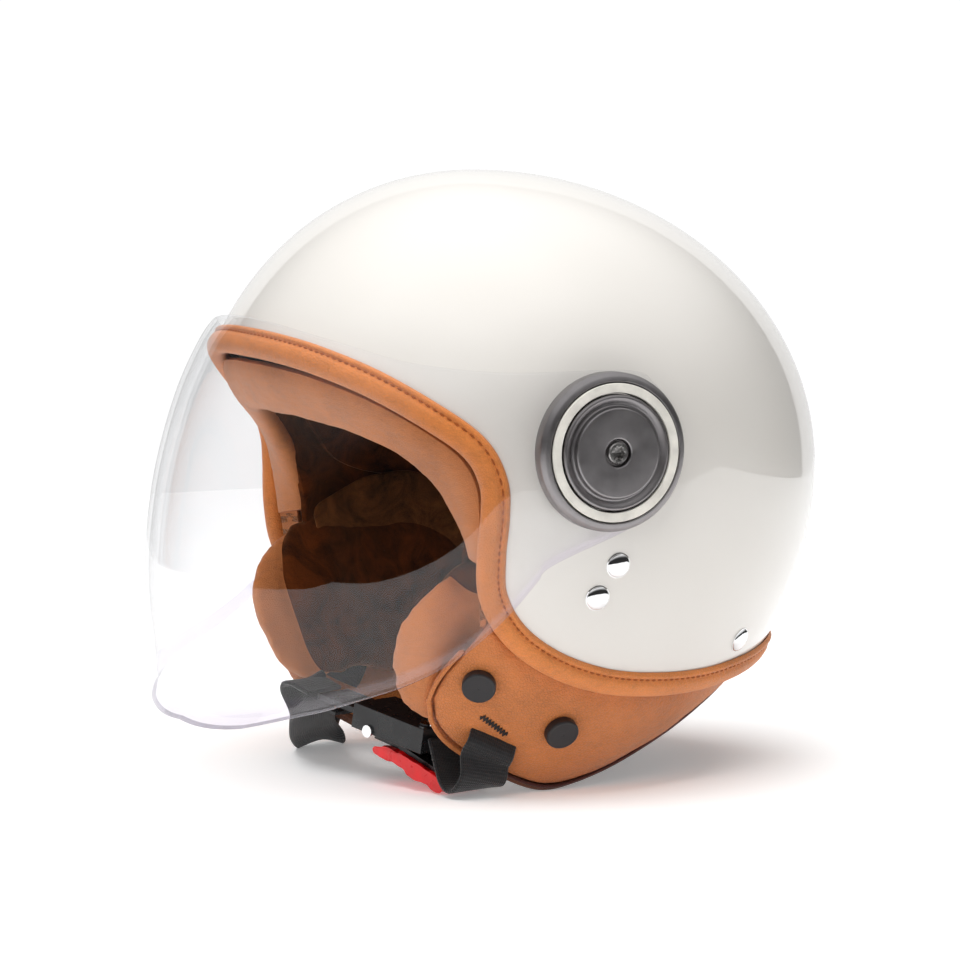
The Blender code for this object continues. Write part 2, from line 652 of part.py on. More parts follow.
def buckle(looks):
    """The buckle's housing, pin, spring, lever with its red tab, and the ratchet tongue."""
    place = buckle_place()
    l, w, h = BUCKLE_LENGTH / 2, BUCKLE_WIDTH / 2, BUCKLE_HEIGHT / 2
    housing = add("buckle_housing", *block(place, (-l, -w, -h), (l, w, h)), looks["black_plastic"], sharp=20)
    channel = block(place, (-l - 0.002, -w + 0.0022, -0.0014), (l - 0.006, w - 0.0022, 0.0026))
    lever_bay = block(place, (-l + 0.004, -w + 0.0034, -h - 0.002), (l - 0.003, w - 0.0034, -0.0008))
    pin_bore = turned([(-w - 0.002, 0), (w + 0.002, 0), (w + 0.002, 0.0015), (-w - 0.002, 0.0015)],
                      (at_buckle(-0.010, 0, -0.0042), place[2], place[3], place[1]), 12)
    boolean(housing, "housing_channel", together(channel))
    boolean(housing, "housing_bay", together(lever_bay))
    boolean(housing, "housing_bore", together(pin_bore))
    bevel = housing.modifiers.new("edges", "BEVEL")
    bevel.width = 0.0012
    bevel.segments = 1
    bevel.angle_limit = np.radians(60)

    hinge = joint_empty("lever_axis", at_buckle(-0.010, 0, -0.0042))
    pin_place = (at_buckle(-0.010, 0, -0.0042), place[2], place[3], place[1])
    head, shank = w + 0.0012, 0.0013
    pin = [(-head, 0), (-head, 0.0026), (-w - 0.0003, 0.0026), (-w - 0.0003, shank), (w + 0.0003, shank),
           (w + 0.0003, 0.0026), (head, 0.0026), (head, 0)]
    add("lever_pin", *turned(pin, pin_place, 12), looks["chrome"])

    eye = turned([(-0.0078, 0.0016), (-0.0078, 0.0028), (0.0078, 0.0028), (0.0078, 0.0016)], pin_place, 12)
    lever = add("release_lever", *eye, looks["black_plastic"], parent=hinge)
    side_outline = [(-0.0105, -0.0078), (0.004, -0.0082), (0.026, -0.0118), (0.026, -0.0102),
                    (0.005, -0.0064), (-0.0095, -0.0062)]
    plate = [[at_buckle(a, b, c) for a, c in side_outline] for b in (-0.0076, 0.0076)]
    boolean(lever, "lever_plate", loft(plate, ring=False), "UNION")

    cover = [(0.0048, -0.0088), (0.0150, -0.0106), (0.0264, -0.0124), (0.0310, -0.0142), (0.0326, -0.0170),
             (0.0290, -0.0192), (0.0150, -0.0162), (0.0030, -0.0142), (-0.0060, -0.0142),
             (-0.0085, -0.0120), (-0.0060, -0.0098)]
    sheet = [[at_buckle(a, b, c) for a, c in cover] for b in (-0.0095, -0.0032, 0.0032, 0.0095)]
    add("pull_tab", *loft(sheet, ring=False), looks["red"], parent=hinge)

    spring = [(-0.0044, 0.0017), (-0.0044, 0.0024), (0.0044, 0.0024), (0.0044, 0.0017)]
    coil_place = (at_buckle(-0.0035, 0, -0.0026), place[2], place[3], place[1])
    add("return_spring", *turned([(a, r - 0.0009) for a, r in spring], coil_place, 10), looks["steel"])

    slider = joint_empty("ratchet_origin", at_buckle(-0.020, 0, 0.0008))
    teeth = [(-0.044, -0.0006), (-0.022, -0.0006)]
    for i in range(9):
        start = -0.022 + 0.0032 * i
        teeth += [(start + 0.0006, 0.0002), (start + 0.0032, -0.0006)]
    outline = teeth + [(0.0078, -0.0006), (0.0085, 0.0), (0.0078, 0.0018), (-0.044, 0.0018)]
    strip = [[at_buckle(a, b, c) for a, c in outline] for b in (-0.0088, 0.0088)]
    add("ratchet_tongue", *loft(strip, ring=False), looks["black_plastic"], parent=slider, sharp=20)

    for name, along, across in (("a", 0.0155, -0.0062), ("b", 0.0155, 0.0062)):
        spot = (at_buckle(along, across, h + 0.0003), place[3], place[1], place[2])
        head = [(0.0, 0), (0.0, 0.0026), (0.0007, 0.0024), (0.0013, 0.0014), (0.0015, 0)]
        add(f"buckle_rivet_{name}", *turned(head, spot, 12), looks["chrome"])
    keeper = [[at_buckle(a, b, c) for b, c in ((-0.0118, -0.0021), (0.0118, -0.0021), (0.0118, -0.0034),
                                               (-0.0118, -0.0034))] for a in (-0.034, -0.030)]
    add("strap_keeper", *loft(keeper, ring=False), looks["black_plastic"], parent=slider)


# ---------------------------------------------------------------- visor and its pivots
def visor_reach(angle):
    """Distance from the pivots' axis to the visor's outside in the middle plane, at an angle above forward."""
    line = spline(VISOR_FRONT, 80) - (HINGE_Y, HINGE_Z)
    bearing = np.arctan2(line[:, 1], -line[:, 0])
    order = np.argsort(bearing)
    return np.interp(angle, bearing[order], np.linalg.norm(line, axis=1)[order])


def visor_section(share, angle, depth):
    """Distances from the middle plane and from the pivots' axis at a share of the way to the front."""
    swing = (1 - share) * np.pi / 2
    reach = LOBE_REACH + ease(share, 0.17, 0.62) * (visor_reach(angle) - LOBE_REACH) - depth
    radius = reach * np.cos(swing) ** (2 / VISOR_ROUNDNESS)
    height = np.maximum(HINGE_Z + radius * np.sin(angle), WIDEST_Z)
    narrow = VISOR_NARROWING * (HALF_WIDTH - half_width(height))
    flare = VISOR_FLARE * ease(-angle, 0.1, 0.8)
    out = VISOR_HALF_WIDTH + ease(share, 0.17, 0.50) * (flare - narrow) - depth
    return out * np.sin(swing) ** (2 / VISOR_ROUNDNESS), radius


def visor_point(share, angle, depth):
    """A point of the visor: share runs 0 at the pivots' axis to 1 in the middle plane."""
    x, radius = visor_section(share, angle, depth)
    return np.stack([x, HINGE_Y - radius * np.cos(angle), HINGE_Z + radius * np.sin(angle)], -1)


def share_at(radius, angle):
    """The share at which the visor is a given distance from the pivots' axis."""
    shares = np.linspace(0, 1, 300)
    return np.interp(radius, visor_section(shares, angle, 0.0)[1], shares)


def visor_edge(points, start):
    """An edge of the visor as (share, angle), from behind the pivot round the lobe to the front."""
    lobe = np.radians(np.linspace(180 * np.sign(start), start, 6))[:-1]
    rim = [(share_at(VISOR_LOBE, a), a) for a in lobe]
    for y, z in points:
        radius, angle = np.hypot(y - HINGE_Y, z - HINGE_Z), np.arctan2(z - HINGE_Z, HINGE_Y - y)
        rim.append((share_at(radius, angle), angle))
    rim[-1] = (1.0, rim[-1][1])
    return rim


def visor(looks):
    """The clear visor: two lobes on the pivots joined by a curved sheet."""
    columns, rows = 19, 9
    top = spline([(s * np.cos(a), s * np.sin(a)) for s, a in visor_edge(VISOR_TOP_EDGE, 95)], columns)
    bottom = spline([(s * np.cos(a), s * np.sin(a)) for s, a in visor_edge(VISOR_BOTTOM_EDGE, -110)], columns)
    across = np.linspace(0, 1, rows)[:, None]
    grid = []
    for i in range(columns):
        straight = bottom[i] + across * (top[i] - bottom[i])
        radii = [np.hypot(*bottom[i]), np.hypot(*top[i])]
        angles = [np.arctan2(bottom[i][1], bottom[i][0]), np.arctan2(top[i][1], top[i][0])]
        round_about = ease(i / (columns - 1), 0.35, 0.9)
        radius = radii[0] + across[:, 0] * (radii[1] - radii[0])
        angle = angles[0] + across[:, 0] * (angles[1] - angles[0])
        curved = np.stack([radius * np.cos(angle), radius * np.sin(angle)], 1)
        flat = straight + round_about * (curved - straight) if round_about > 0 else straight
        share, bearing = np.hypot(flat[:, 0], flat[:, 1]), np.arctan2(flat[:, 1], flat[:, 0])
        edge_ring = [visor_point(share, bearing, 0.0), visor_point(share[::-1], bearing[::-1], VISOR_WALL)]
        grid.append(np.concatenate(edge_ring))
    half = np.array(grid[1:])
    mirrored = half[-2::-1] * (-1, 1, 1)
    hinge = joint_empty("visor_axis", np.array([0, HINGE_Y, HINGE_Z]))
    sheet = add("visor", *loft(np.concatenate([half, mirrored]), ring=False), looks["clear"], parent=hinge)
    bores = [turned([(0.115, 0), (0.140, 0), (0.140, VISOR_BORE), (0.115, VISOR_BORE)], on_pivot(side), 24)
             for side in (1, -1)]
    boolean(sheet, "visor_bores", together(*bores))


def dome_height(radius):
    """The lobe's distance from the middle plane at a radius from the pivots' axis."""
    fall = (radius / LOBE_REACH) ** VISOR_ROUNDNESS
    return VISOR_HALF_WIDTH * (1 - fall) ** (1 / VISOR_ROUNDNESS)


def pivots(looks):
    """On each side: base plate and hub, washer, bezel, cream ring, cap, screw and threaded insert."""
    for side, hand in ((1, "left"), (-1, "right")):
        place = on_pivot(side)
        foot = pivot_foot(side)
        base = add(f"pivot_base_{hand}", *foot, looks["black_plastic"])
        hub = turned([(0.1246, 0), (0.1246, 0.0088), (0.1316, 0.0088), (0.1316, 0)], place, 24)
        boolean(base, f"hub_{hand}", hub, "UNION")
        bore = turned([(0.118, 0), (0.136, 0), (0.136, 0.0030), (0.118, 0.0030)], place, 16)
        boolean(base, f"base_bore_{hand}", bore)
        washer = [(0.1296, 0.0094), (0.1296, 0.0150), (0.1302, 0.0150), (0.1302, 0.0094)]
        add(f"friction_washer_{hand}", *turned(washer, place, 20), looks["washer"])
        low = [dome_height(r) + 0.0005 for r in (BEZEL_RADIUS, 0.0240)]
        bezel = [(low[0], BEZEL_RADIUS), (0.1318, BEZEL_RADIUS), (0.1336, 0.0305),
                 (0.1347, RING_OUTER + 0.0006), (0.1334, RING_OUTER + 0.0003),
                 (0.1334, RING_INNER - 0.0002), (low[1], RING_INNER - 0.0002)]
        add(f"bezel_{hand}", *turned(bezel, place, 28), looks["gunmetal"], sharp=25)
        ring = [(0.1337, RING_OUTER), (0.1349, RING_OUTER), (0.1353, RING_OUTER - 0.0006),
                (0.1353, RING_INNER + 0.0006), (0.1349, RING_INNER), (0.1337, RING_INNER)]
        add(f"cream_ring_{hand}", *turned(ring, place, 28), looks["cream"], sharp=25)
        cap = [(0.1320, 0.0034), (0.1320, 0.0160), (0.1308, 0.0165), (0.1308, CAP_RADIUS - 0.0003),
               (0.1350, CAP_RADIUS - 0.0003), (0.1356, CAP_RADIUS - 0.0014), (0.1352, CAP_PLATEAU + 0.0004),
               (0.1372, CAP_PLATEAU - 0.0004), (0.1372, 0.0056), (0.1345, 0.0054), (0.1345, 0.0034)]
        add(f"pivot_cap_{hand}", *turned(cap, place, 24), looks["gunmetal"], sharp=25)
        screw = [(0.1190, 0), (0.1190, 0.0020), (0.1349, 0.0020), (0.1349, SCREW_HEAD), (0.1372, SCREW_HEAD),
                 (0.1377, 0.0041), (0.1377, 0.0022), (0.1362, 0.0020), (0.1362, 0)]
        add(f"torx_screw_{hand}", *turned(screw, place, 10), looks["steel"])
        insert = [(0.1105, 0.0024), (0.1105, 0.0042), (0.1177, 0.0042), (0.1177, 0.0075),
                  (0.1188, 0.0075), (0.1188, 0.0024)]
        add(f"threaded_insert_{hand}", *turned(insert, place, 12), looks["brass"])


def pivot_foot(side):
    """A disc whose underside follows the shell and whose top is flat, under the visor's lobe."""
    sides, radius, top = 24, 0.0180, 0.1252
    angle = np.linspace(0, 2 * np.pi, sides, endpoint=False)
    rows = []
    for share in (0.35, 0.7, 1.0):
        y = HINGE_Y + share * radius * np.cos(angle)
        z = HINGE_Z + share * radius * np.sin(angle)
        reach = np.where(y < WIDEST_Y, HALF_FRONT, HALF_REAR) * length_factor(z)
        x = half_width(z) * np.sqrt(1 - ((y - WIDEST_Y) / reach) ** 2) + 0.0005
        rows.append(np.stack([side * x, y, z], 1))
    centre_low = np.array([[side * (HALF_WIDTH + 0.0005), HINGE_Y, HINGE_Z]])
    upper = np.stack([np.full(sides, side * top), HINGE_Y + radius * np.cos(angle),
                      HINGE_Z + radius * np.sin(angle)], 1)
    points = np.concatenate([centre_low, *rows, upper])
    faces = [[0, 1 + (i + 1) % sides, 1 + i] for i in range(sides)]
    for j in range(3):
        for i in range(sides):
            k = (i + 1) % sides
            a = 1 + j * sides
            faces.append([a + i, a + k, a + sides + k, a + sides + i])
    faces.append([1 + 3 * sides + i for i in range(sides)])
    return points, faces


# ---------------------------------------------------------------- all of it
def main():
    for old in list(bpy.data.objects):
        bpy.data.objects.remove(old, do_unlink=True)
    looks = {
        "shell": material("pearl_cream_paint", (0.86, 0.83, 0.77), 0.12),
        "foam": material("eps_foam", (0.05, 0.05, 0.055), 0.9),
        "suede": material("brown_velour", (0.12, 0.05, 0.02), 0.95),
        "leather": material("tan_leather", (0.62, 0.25, 0.075), 0.5),
        "leather_pad": material("soft_tan_leather", (0.60, 0.26, 0.10), 0.55),
        "bead": material("piping_cord", (0.50, 0.20, 0.07), 0.6),
        "binding": material("brown_binding", (0.10, 0.035, 0.02), 0.7),
        "snap": material("black_snap", (0.03, 0.03, 0.035), 0.45),
        "chrome": material("polished_chrome", (0.85, 0.85, 0.86), 0.06, 1.0),
        "steel": material("bare_steel", (0.45, 0.45, 0.46), 0.3, 1.0),
        "brass": material("brass", (0.70, 0.50, 0.22), 0.3, 1.0),
        "gunmetal": material("satin_gunmetal", (0.19, 0.185, 0.19), 0.35, 0.9),
        "cream": material("cream_plastic", (0.86, 0.83, 0.75), 0.3),
        "black_plastic": material("black_plastic", (0.012, 0.012, 0.014), 0.4),
        "washer": material("nylon_washer", (0.06, 0.06, 0.06), 0.5),
        "webbing": material("black_webbing", (0.012, 0.012, 0.013), 0.85),
        "red": material("red_pull_tab", (0.80, 0.01, 0.02), 0.45),
        "clear": material("clear_polycarbonate", (0.90, 0.92, 0.95), 0.03, 0.0, 0.25),
    }
    shell_and_foam(looks)
    edge_trim(looks)
    brow_pad(looks)
    cheek_pads(looks)
    neck_roll(looks)
    rivets(looks)
    straps(looks)
    buckle(looks)
    visor(looks)
    pivots(looks)


main()
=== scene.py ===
"""Looks of the open face motorcycle helmet: shell, leather, velour, webbing, clear visor, light and camera.

Axes: +X is the wearer's left, -Y is forward, +Z is up. Lengths are in metres, and points of the helmet are
measured from the middle of the shell. The shell is one formula, skin(), and every layer is a depth below it.
Lists of stops on the skin hold (azimuth, height) pairs: 0 degrees is in front, 90 left and 180 the nape.
"""
import json

import bmesh
import bpy
import numpy as np
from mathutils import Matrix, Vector, noise


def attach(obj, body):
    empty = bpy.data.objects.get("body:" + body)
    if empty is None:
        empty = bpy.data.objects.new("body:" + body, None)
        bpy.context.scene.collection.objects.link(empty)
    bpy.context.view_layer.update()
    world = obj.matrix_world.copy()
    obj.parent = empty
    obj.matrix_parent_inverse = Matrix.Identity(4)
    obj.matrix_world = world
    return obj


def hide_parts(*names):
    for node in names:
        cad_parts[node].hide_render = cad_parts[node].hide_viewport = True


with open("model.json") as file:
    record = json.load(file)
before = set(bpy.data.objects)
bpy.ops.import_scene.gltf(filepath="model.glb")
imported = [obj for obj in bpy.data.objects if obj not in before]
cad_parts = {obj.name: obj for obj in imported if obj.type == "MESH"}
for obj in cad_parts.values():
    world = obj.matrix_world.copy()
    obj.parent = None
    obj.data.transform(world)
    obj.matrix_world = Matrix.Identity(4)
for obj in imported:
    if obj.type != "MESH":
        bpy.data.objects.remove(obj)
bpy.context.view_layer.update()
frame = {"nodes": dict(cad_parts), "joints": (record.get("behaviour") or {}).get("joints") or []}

# ---------------------------------------------------------------- sizes that the frame was made with
ROOT = "helmet_body"
SIDES = ((1, "left"), (-1, "right"))
HALF_WIDTH = 0.124
HALF_FRONT = 0.117
HALF_REAR = 0.1485
WIDEST_Y = -0.011
WIDEST_Z = 0.022
CROWN = 0.128
LOWER_LENGTH_FALL = 0.1325
UPPER_WIDTH_FALL = CROWN - WIDEST_Z
LOWER_WIDTH_FALL = 0.184
SHELL_WALL = 0.0034
LINER_OUTER = 0.0256
LINER_INNER = 0.0306
POLE = np.array([0.0, 0.72, 0.69])
TRIM_BAND = 0.0105
LIP_DEPTH = 0.024
ROLL_OUTER = 0.0036
ROLL_INNER = 0.0082

HINGE = np.array(next(joint["pos_m"] for joint in frame["joints"] if joint["name"] == "visor_hinge"))
CENTRE = HINGE - (0, WIDEST_Y, WIDEST_Z)

CREST = [(0, 0.0556), (14, 0.0548), (28, 0.0516), (43.6, 0.0435), (56, 0.0315), (63.6, 0.0205),
         (66.6, 0.009), (66.9, -0.003), (66.2, -0.020), (66.6, -0.037), (70.8, -0.0535),
         (79.3, -0.0672), (93.5, -0.0778), (110.5, -0.0820), (124, -0.0825), (141, -0.0800),
         (160, -0.0760), (180, -0.074)]
LINER_EDGE = [(0, 0.056), (13, 0.0555), (26, 0.053), (39, 0.046), (51, 0.036), (61, 0.024),
              (68, 0.011), (74, -0.001), (82, -0.008), (94, -0.012), (110, -0.013), (126, -0.024),
              (142, -0.044), (160, -0.052), (180, -0.054)]
BROW_CREST = CREST[:8] + [(66.4, -0.016), (66.1, -0.025)]
BROW_LIP = [(0, 0.0360), (12, 0.0357), (24, 0.0332), (36.5, 0.0275), (46, 0.0195), (52, 0.011),
            (56, 0.003), (59, -0.006), (62, -0.016), (64, -0.0245)]
ROLL_TOP = [(69.0, -0.0490), (73, -0.0580), (79.3, -0.0668), (93.5, -0.0775), (110.5, -0.0820),
            (124, -0.0822), (141, -0.0797), (160, -0.0757), (180, -0.0737)]
ROLL_BOTTOM = [(68.0, -0.0520), (57.0, -0.0760), (54.6, -0.0915), (62, -0.1070), (86, -0.1226),
               (109, -0.1190), (129.7, -0.1066), (150, -0.0905), (180, -0.0835)]
CHEEK_OUTLINE = [(67, -0.0275), (60, -0.029), (53.5, -0.040), (48.5, -0.052), (45, -0.064),
                 (43.8, -0.075), (45, -0.088), (50, -0.098), (58, -0.1045), (70, -0.107), (86, -0.109),
                 (101, -0.106), (112, -0.096), (117, -0.078), (116, -0.056), (110, -0.036),
                 (97, -0.027), (82, -0.027)]
CHEEK_MIDDLE = (80, -0.068)
LINER_LOBE = [(62, -0.0285), (64.5, -0.0235), (72, -0.0190), (81, -0.0134), (88, -0.0110),
              (96, -0.0105), (103, -0.0150), (112, -0.0240), (116, -0.040), (106, -0.052),
              (88, -0.056), (72, -0.051), (63, -0.040)]
FACING_FRONT = [(0, 0.0430), (12, 0.0427), (24, 0.0402), (36.5, 0.0345), (46, 0.0265), (52, 0.0175),
                (56, 0.009), (59, 0.000), (61.5, -0.010), (62.5, -0.0200), (62.5, -0.0330), (72, -0.0400),
                (96, -0.0400)]
FACING_BACK = [(0, 0.0575), (13, 0.0570), (26, 0.0545), (39, 0.0475), (51, 0.0375), (61, 0.0255),
               (68, 0.0125), (74, 0.0005), (82, -0.0065), (96, -0.0110)]
NAPE_TOP = [(80, -0.0100), (94, -0.0130), (110, -0.0140), (126, -0.0250), (142, -0.0450), (160, -0.0530),
            (180, -0.0550)]
NAPE_BOTTOM = [(80, -0.0600), (94, -0.0680), (110, -0.0720), (126, -0.0725), (142, -0.0700), (160, -0.0660),
               (180, -0.0640)]
RIVETS = {"strap_rivet_upper": (94.1, -0.0248), "strap_rivet_lower": (90.3, -0.0378),
          "rear_rivet": (133.2, -0.0630)}
SNAPS = {"front": (66.5, -0.0752), "rear": (88.0, -0.0966)}
SLOT = (70.6, -0.0992)
METRES_PER_DEGREE = 0.0019

VISOR_HALF_WIDTH = 0.1292
VISOR_ROUNDNESS = 2.12
VISOR_FLARE = 0.0070
VISOR_NARROWING = 0.72
VISOR_WALL = 0.0020
VISOR_LOBE = 0.034
VISOR_BORE = 0.0092
LOBE_REACH = 0.130
# (y, z) stops of the visor: its front in the middle plane, and its two edges seen from the side
VISOR_FRONT = [(-0.1130, 0.0716), (-0.1211, 0.0604), (-0.1324, 0.0356), (-0.1423, 0.0021),
               (-0.1468, -0.0313), (-0.1464, -0.0565), (-0.1438, -0.0760), (-0.1430, -0.0880),
               (-0.1434, -0.0985)]
VISOR_TOP_EDGE = [(-0.0349, 0.0541), (-0.0541, 0.0543), (-0.0705, 0.0556), (-0.0844, 0.0579),
                  (-0.0968, 0.0626), (-0.1075, 0.0671), (-0.1124, 0.0700)]
VISOR_BOTTOM_EDGE = [(-0.0315, -0.0234), (-0.0379, -0.0302), (-0.0465, -0.0412), (-0.0578, -0.0531),
                     (-0.0690, -0.0622), (-0.0860, -0.0714), (-0.1100, -0.0803), (-0.1300, -0.0885),
                     (-0.1432, -0.0942)]

BUCKLE = np.array([0.0360, -0.0570, -0.0972])
BUCKLE_ALONG = np.array([0.90, 0.36, -0.18])
BUCKLE_LENGTH = 0.040
WEB_WIDTH = 0.020
WEB_THICK = 0.0017

STITCH_PITCH = 0.0033
STITCH_LINE = -0.0082


# ---------------------------------------------------------------- the shell's surface
def unit(vectors):
    """The same directions with length 1."""
    return vectors / np.linalg.norm(vectors, axis=-1, keepdims=True)


def half_width(z):
    """Half of the shell's width at height z."""
    fall = np.where(z > WIDEST_Z, UPPER_WIDTH_FALL, LOWER_WIDTH_FALL)
    return HALF_WIDTH * np.sqrt(np.clip(1 - ((z - WIDEST_Z) / fall) ** 2, 1e-9, None))


def length_factor(z):
    """How much of the full length is left at height z."""
    fall = np.where(z > 0, CROWN, LOWER_LENGTH_FALL)
    return np.sqrt(np.clip(1 - (z / fall) ** 2, 1e-9, None))


def outside(p):
    """0 on the outer surface, below 0 inside the shell and above 0 outside it."""
    x, y, z = p[..., 0], p[..., 1] - WIDEST_Y, p[..., 2]
    reach = np.where(y < 0, HALF_FRONT, HALF_REAR) * length_factor(z)
    return (x / half_width(z)) ** 2 + (y / reach) ** 2 - 1


def skin(azimuth, z):
    """Point of the outer surface at an azimuth in degrees (0 front, 90 left) and a height."""
    angle = np.radians(np.asarray(azimuth, float))
    z = np.asarray(z, float) + 0 * angle
    s, c = np.sin(angle), np.cos(angle)
    reach = np.where(c > 0, HALF_FRONT, HALF_REAR) * length_factor(z)
    radius = 1 / np.sqrt((s / half_width(z)) ** 2 + (c / reach) ** 2)
    return np.stack([radius * s, WIDEST_Y - radius * c, z], -1)


def skin_along(p):
    """Where the ray from the middle of the shell through p meets the outer surface."""
    middle = np.array([0, WIDEST_Y, 0])
    ray = unit(p - middle)
    longest, halvings = 0.2, 40
    near = np.zeros(ray.shape[:-1])
    far = near + longest
    for _ in range(halvings):
        half = (near + far) / 2
        beyond = outside(middle + ray * half[..., None]) > 0
        far = np.where(beyond, half, far)
        near = np.where(beyond, near, half)
    return middle + ray * near[..., None]


def normal(p):
    """Outward direction of the surface at p."""
    step = 1e-6
    return unit(np.stack([outside(p + step * axis) - outside(p - step * axis) for axis in np.eye(3)], -1))


def below(p, depth):
    """The point at a depth under the surface point p; a negative depth stands proud."""
    return p - np.asarray(depth)[..., None] * normal(p)


def under(spots, depth, side=1):
    """Points at a depth under (azimuth, height) spots, on the left (1) or mirrored to the right (-1)."""
    return below(skin(side * spots[:, 0], spots[:, 1]), depth)


# ---------------------------------------------------------------- curves
def spline(points, count, closed=False):
    """A smooth curve through the points, evenly spaced, with count points."""
    points = np.asarray(points, float)
    if closed:
        padded = np.concatenate([points[-1:], points, points[:2]])
    else:
        padded = np.concatenate([2 * points[:1] - points[1:2], points, 2 * points[-1:] - points[-2:-1]])
    t = np.linspace(0, 1, 24, endpoint=False)[:, None]
    pieces = []
    for a, b, c, d in zip(padded, padded[1:], padded[2:], padded[3:]):
        pieces.append(b + t / 2 * (c - a + t * (2 * a - 5 * b + 4 * c - d + t * (3 * (b - c) + d - a))))
    dense = np.concatenate(pieces + [points[:1] if closed else points[-1:]])
    run = np.concatenate([[0], np.cumsum(np.linalg.norm(np.diff(dense, axis=0), axis=1))])
    at = np.linspace(0, run[-1], count, endpoint=not closed)
    return np.stack([np.interp(at, run, dense[:, i]) for i in range(dense.shape[1])], 1)


def edge_loop(half, count):
    """A closed loop on the skin from the points of its left half, brow to nape."""
    left = [skin(*point) for point in half]
    right = [skin(-azimuth, z) for azimuth, z in half[-2:0:-1]]
    return skin_along(spline(left + right, count, closed=True))


def span(half, count):
    """An open line on the skin over the front, from the left end of a half list to the right end."""
    stops = list(half[::-1]) + [(-azimuth, z) for azimuth, z in half[1:]]
    return skin_along(spline([skin(*point) for point in stops], count))


def outward(loop):
    """Direction in the surface across a closed loop, pointing into the opening."""
    return unit(np.cross(np.roll(loop, -1, 0) - np.roll(loop, 1, 0), normal(loop)))


def both_sides(half):
    """The left half of something that ends in the middle plane, and its mirror image after it."""
    mirror = np.ones(half.shape[-1])
    mirror[0] = -1
    return np.concatenate([half, half[-2::-1] * mirror])


def lengths(points, closed=False):
    """Distance run at each point of a line, and at the closing point of a closed one."""
    line = np.concatenate([points, points[:1]]) if closed else points
    return np.concatenate([[0], np.cumsum(np.linalg.norm(np.diff(line, axis=0), axis=1))])


def ease(value, start, end):
    """0 before start, 1 after end, smooth between."""
    t = np.clip((value - start) / (end - start), 0, 1)
    return t * t * (3 - 2 * t)


def hill(distance, width):
    """1 at distance 0, falling to nothing over a few widths."""
    return np.exp(-(np.asarray(distance) / width) ** 2)


def grain(points, scale, seed=0.0):
    """Smooth noise from -1 to 1 at each point, with features of about 1 / scale metres."""
    places = np.asarray(points).reshape(-1, 3) * scale + seed
    values = [noise.noise(Vector(place)) for place in places]
    return np.array(values).reshape(np.asarray(points).shape[:-1])


# ---------------------------------------------------------------- meshes
def make(name, points, faces, looks, sharp=50, uvs=None):
    """A named smooth object from points measured from the shell's centre."""
    mesh = bpy.data.meshes.new(name)
    mesh.from_pydata((np.asarray(points, float).reshape(-1, 3) + CENTRE).tolist(), [], faces)
    if uvs is not None:
        layer = mesh.uv_layers.new(name="run")
        layer.data.foreach_set("uv", np.asarray(uvs, np.float32).ravel())
    work = bmesh.new()
    work.from_mesh(mesh)
    bmesh.ops.recalc_face_normals(work, faces=work.faces)
    work.to_mesh(mesh)
    work.free()
    mesh.shade_smooth()
    mesh.set_sharp_from_angle(angle=np.radians(sharp))
    for look in looks if isinstance(looks, (list, tuple)) else [looks]:
        mesh.materials.append(look)
    made = bpy.data.objects.new(name, mesh)
    bpy.context.scene.collection.objects.link(made)
    return made


def keep(piece, body=ROOT, replaces=()):
    """Ties a finished piece to its body and the frame nodes that it stands for."""
    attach(piece, body)
    if replaces:
        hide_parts(*replaces)
    return piece


def sheet_faces(rows, columns, round_rows, caps):
    """Quads of a grid whose rows close on themselves, and its two end caps."""
    faces = []
    for i in range(rows if round_rows else rows - 1):
        j = (i + 1) % rows
        for a in range(columns):
            b = (a + 1) % columns
            faces.append([i * columns + a, j * columns + a, j * columns + b, i * columns + b])
    if caps:
        faces.append(list(range(columns)))
        faces.append([(rows - 1) * columns + a for a in range(columns)][::-1])
    return faces


def grid(name, points, looks, round_rows=False, caps=False, sharp=50):
    """An object from a grid of points, with UVs in metres: U along the rows, V along the columns."""
    points = np.asarray(points, float)
    rows, columns = points.shape[:2]
    faces = sheet_faces(rows, columns, round_rows, caps)
    u = lengths(points.mean(1), round_rows)
    v = lengths(points[rows // 2], True)
    uvs = []
    for i in range(rows if round_rows else rows - 1):
        for a in range(columns):
            uvs += [(u[i], v[a]), (u[i + 1], v[a]), (u[i + 1], v[a + 1]), (u[i], v[a + 1])]
    if caps:
        uvs += [(0.0, 0.0)] * (2 * columns)
    return make(name, points, faces, looks, sharp, uvs)


def lathe(profile, place, sides=96):
    """Rings of a closed profile of (height, radius) turned about a placement's first axis."""
    origin, along, u, v = place
    angle = np.linspace(0, 2 * np.pi, sides, endpoint=False)
    profile = np.asarray(profile, float)
    spokes = np.cos(angle)[:, None, None] * u + np.sin(angle)[:, None, None] * v
    return origin + profile[None, :, :1] * along + profile[None, :, 1:] * spokes


def rounded(profile, radius):
    """A closed profile with its corners rounded off."""
    steps = 4
    profile = np.asarray(profile, float)
    out = []
    for before, corner, after in zip(np.roll(profile, 1, 0), profile, np.roll(profile, -1, 0)):
        back, on = before - corner, after - corner
        reach_back, reach_on = np.linalg.norm(back), np.linalg.norm(on)
        cut = min(radius, 0.45 * reach_back, 0.45 * reach_on)
        first, last = corner + back / reach_back * cut, corner + on / reach_on * cut
        for t in np.linspace(0, 1, steps):
            out.append((1 - t) ** 2 * first + 2 * t * (1 - t) * corner + t * t * last)
    return np.array(out)


def square_to(along):
    """Three unit directions, the first of them along."""
    along = unit(np.asarray(along, float))
    u = unit(np.cross((0, 0, 1), along))
    return along, u, np.cross(along, u)


def on_skin(azimuth, z):
    """A placement on the skin whose first axis points out of the shell."""
    p = skin(azimuth, z)
    return p, *square_to(normal(p))


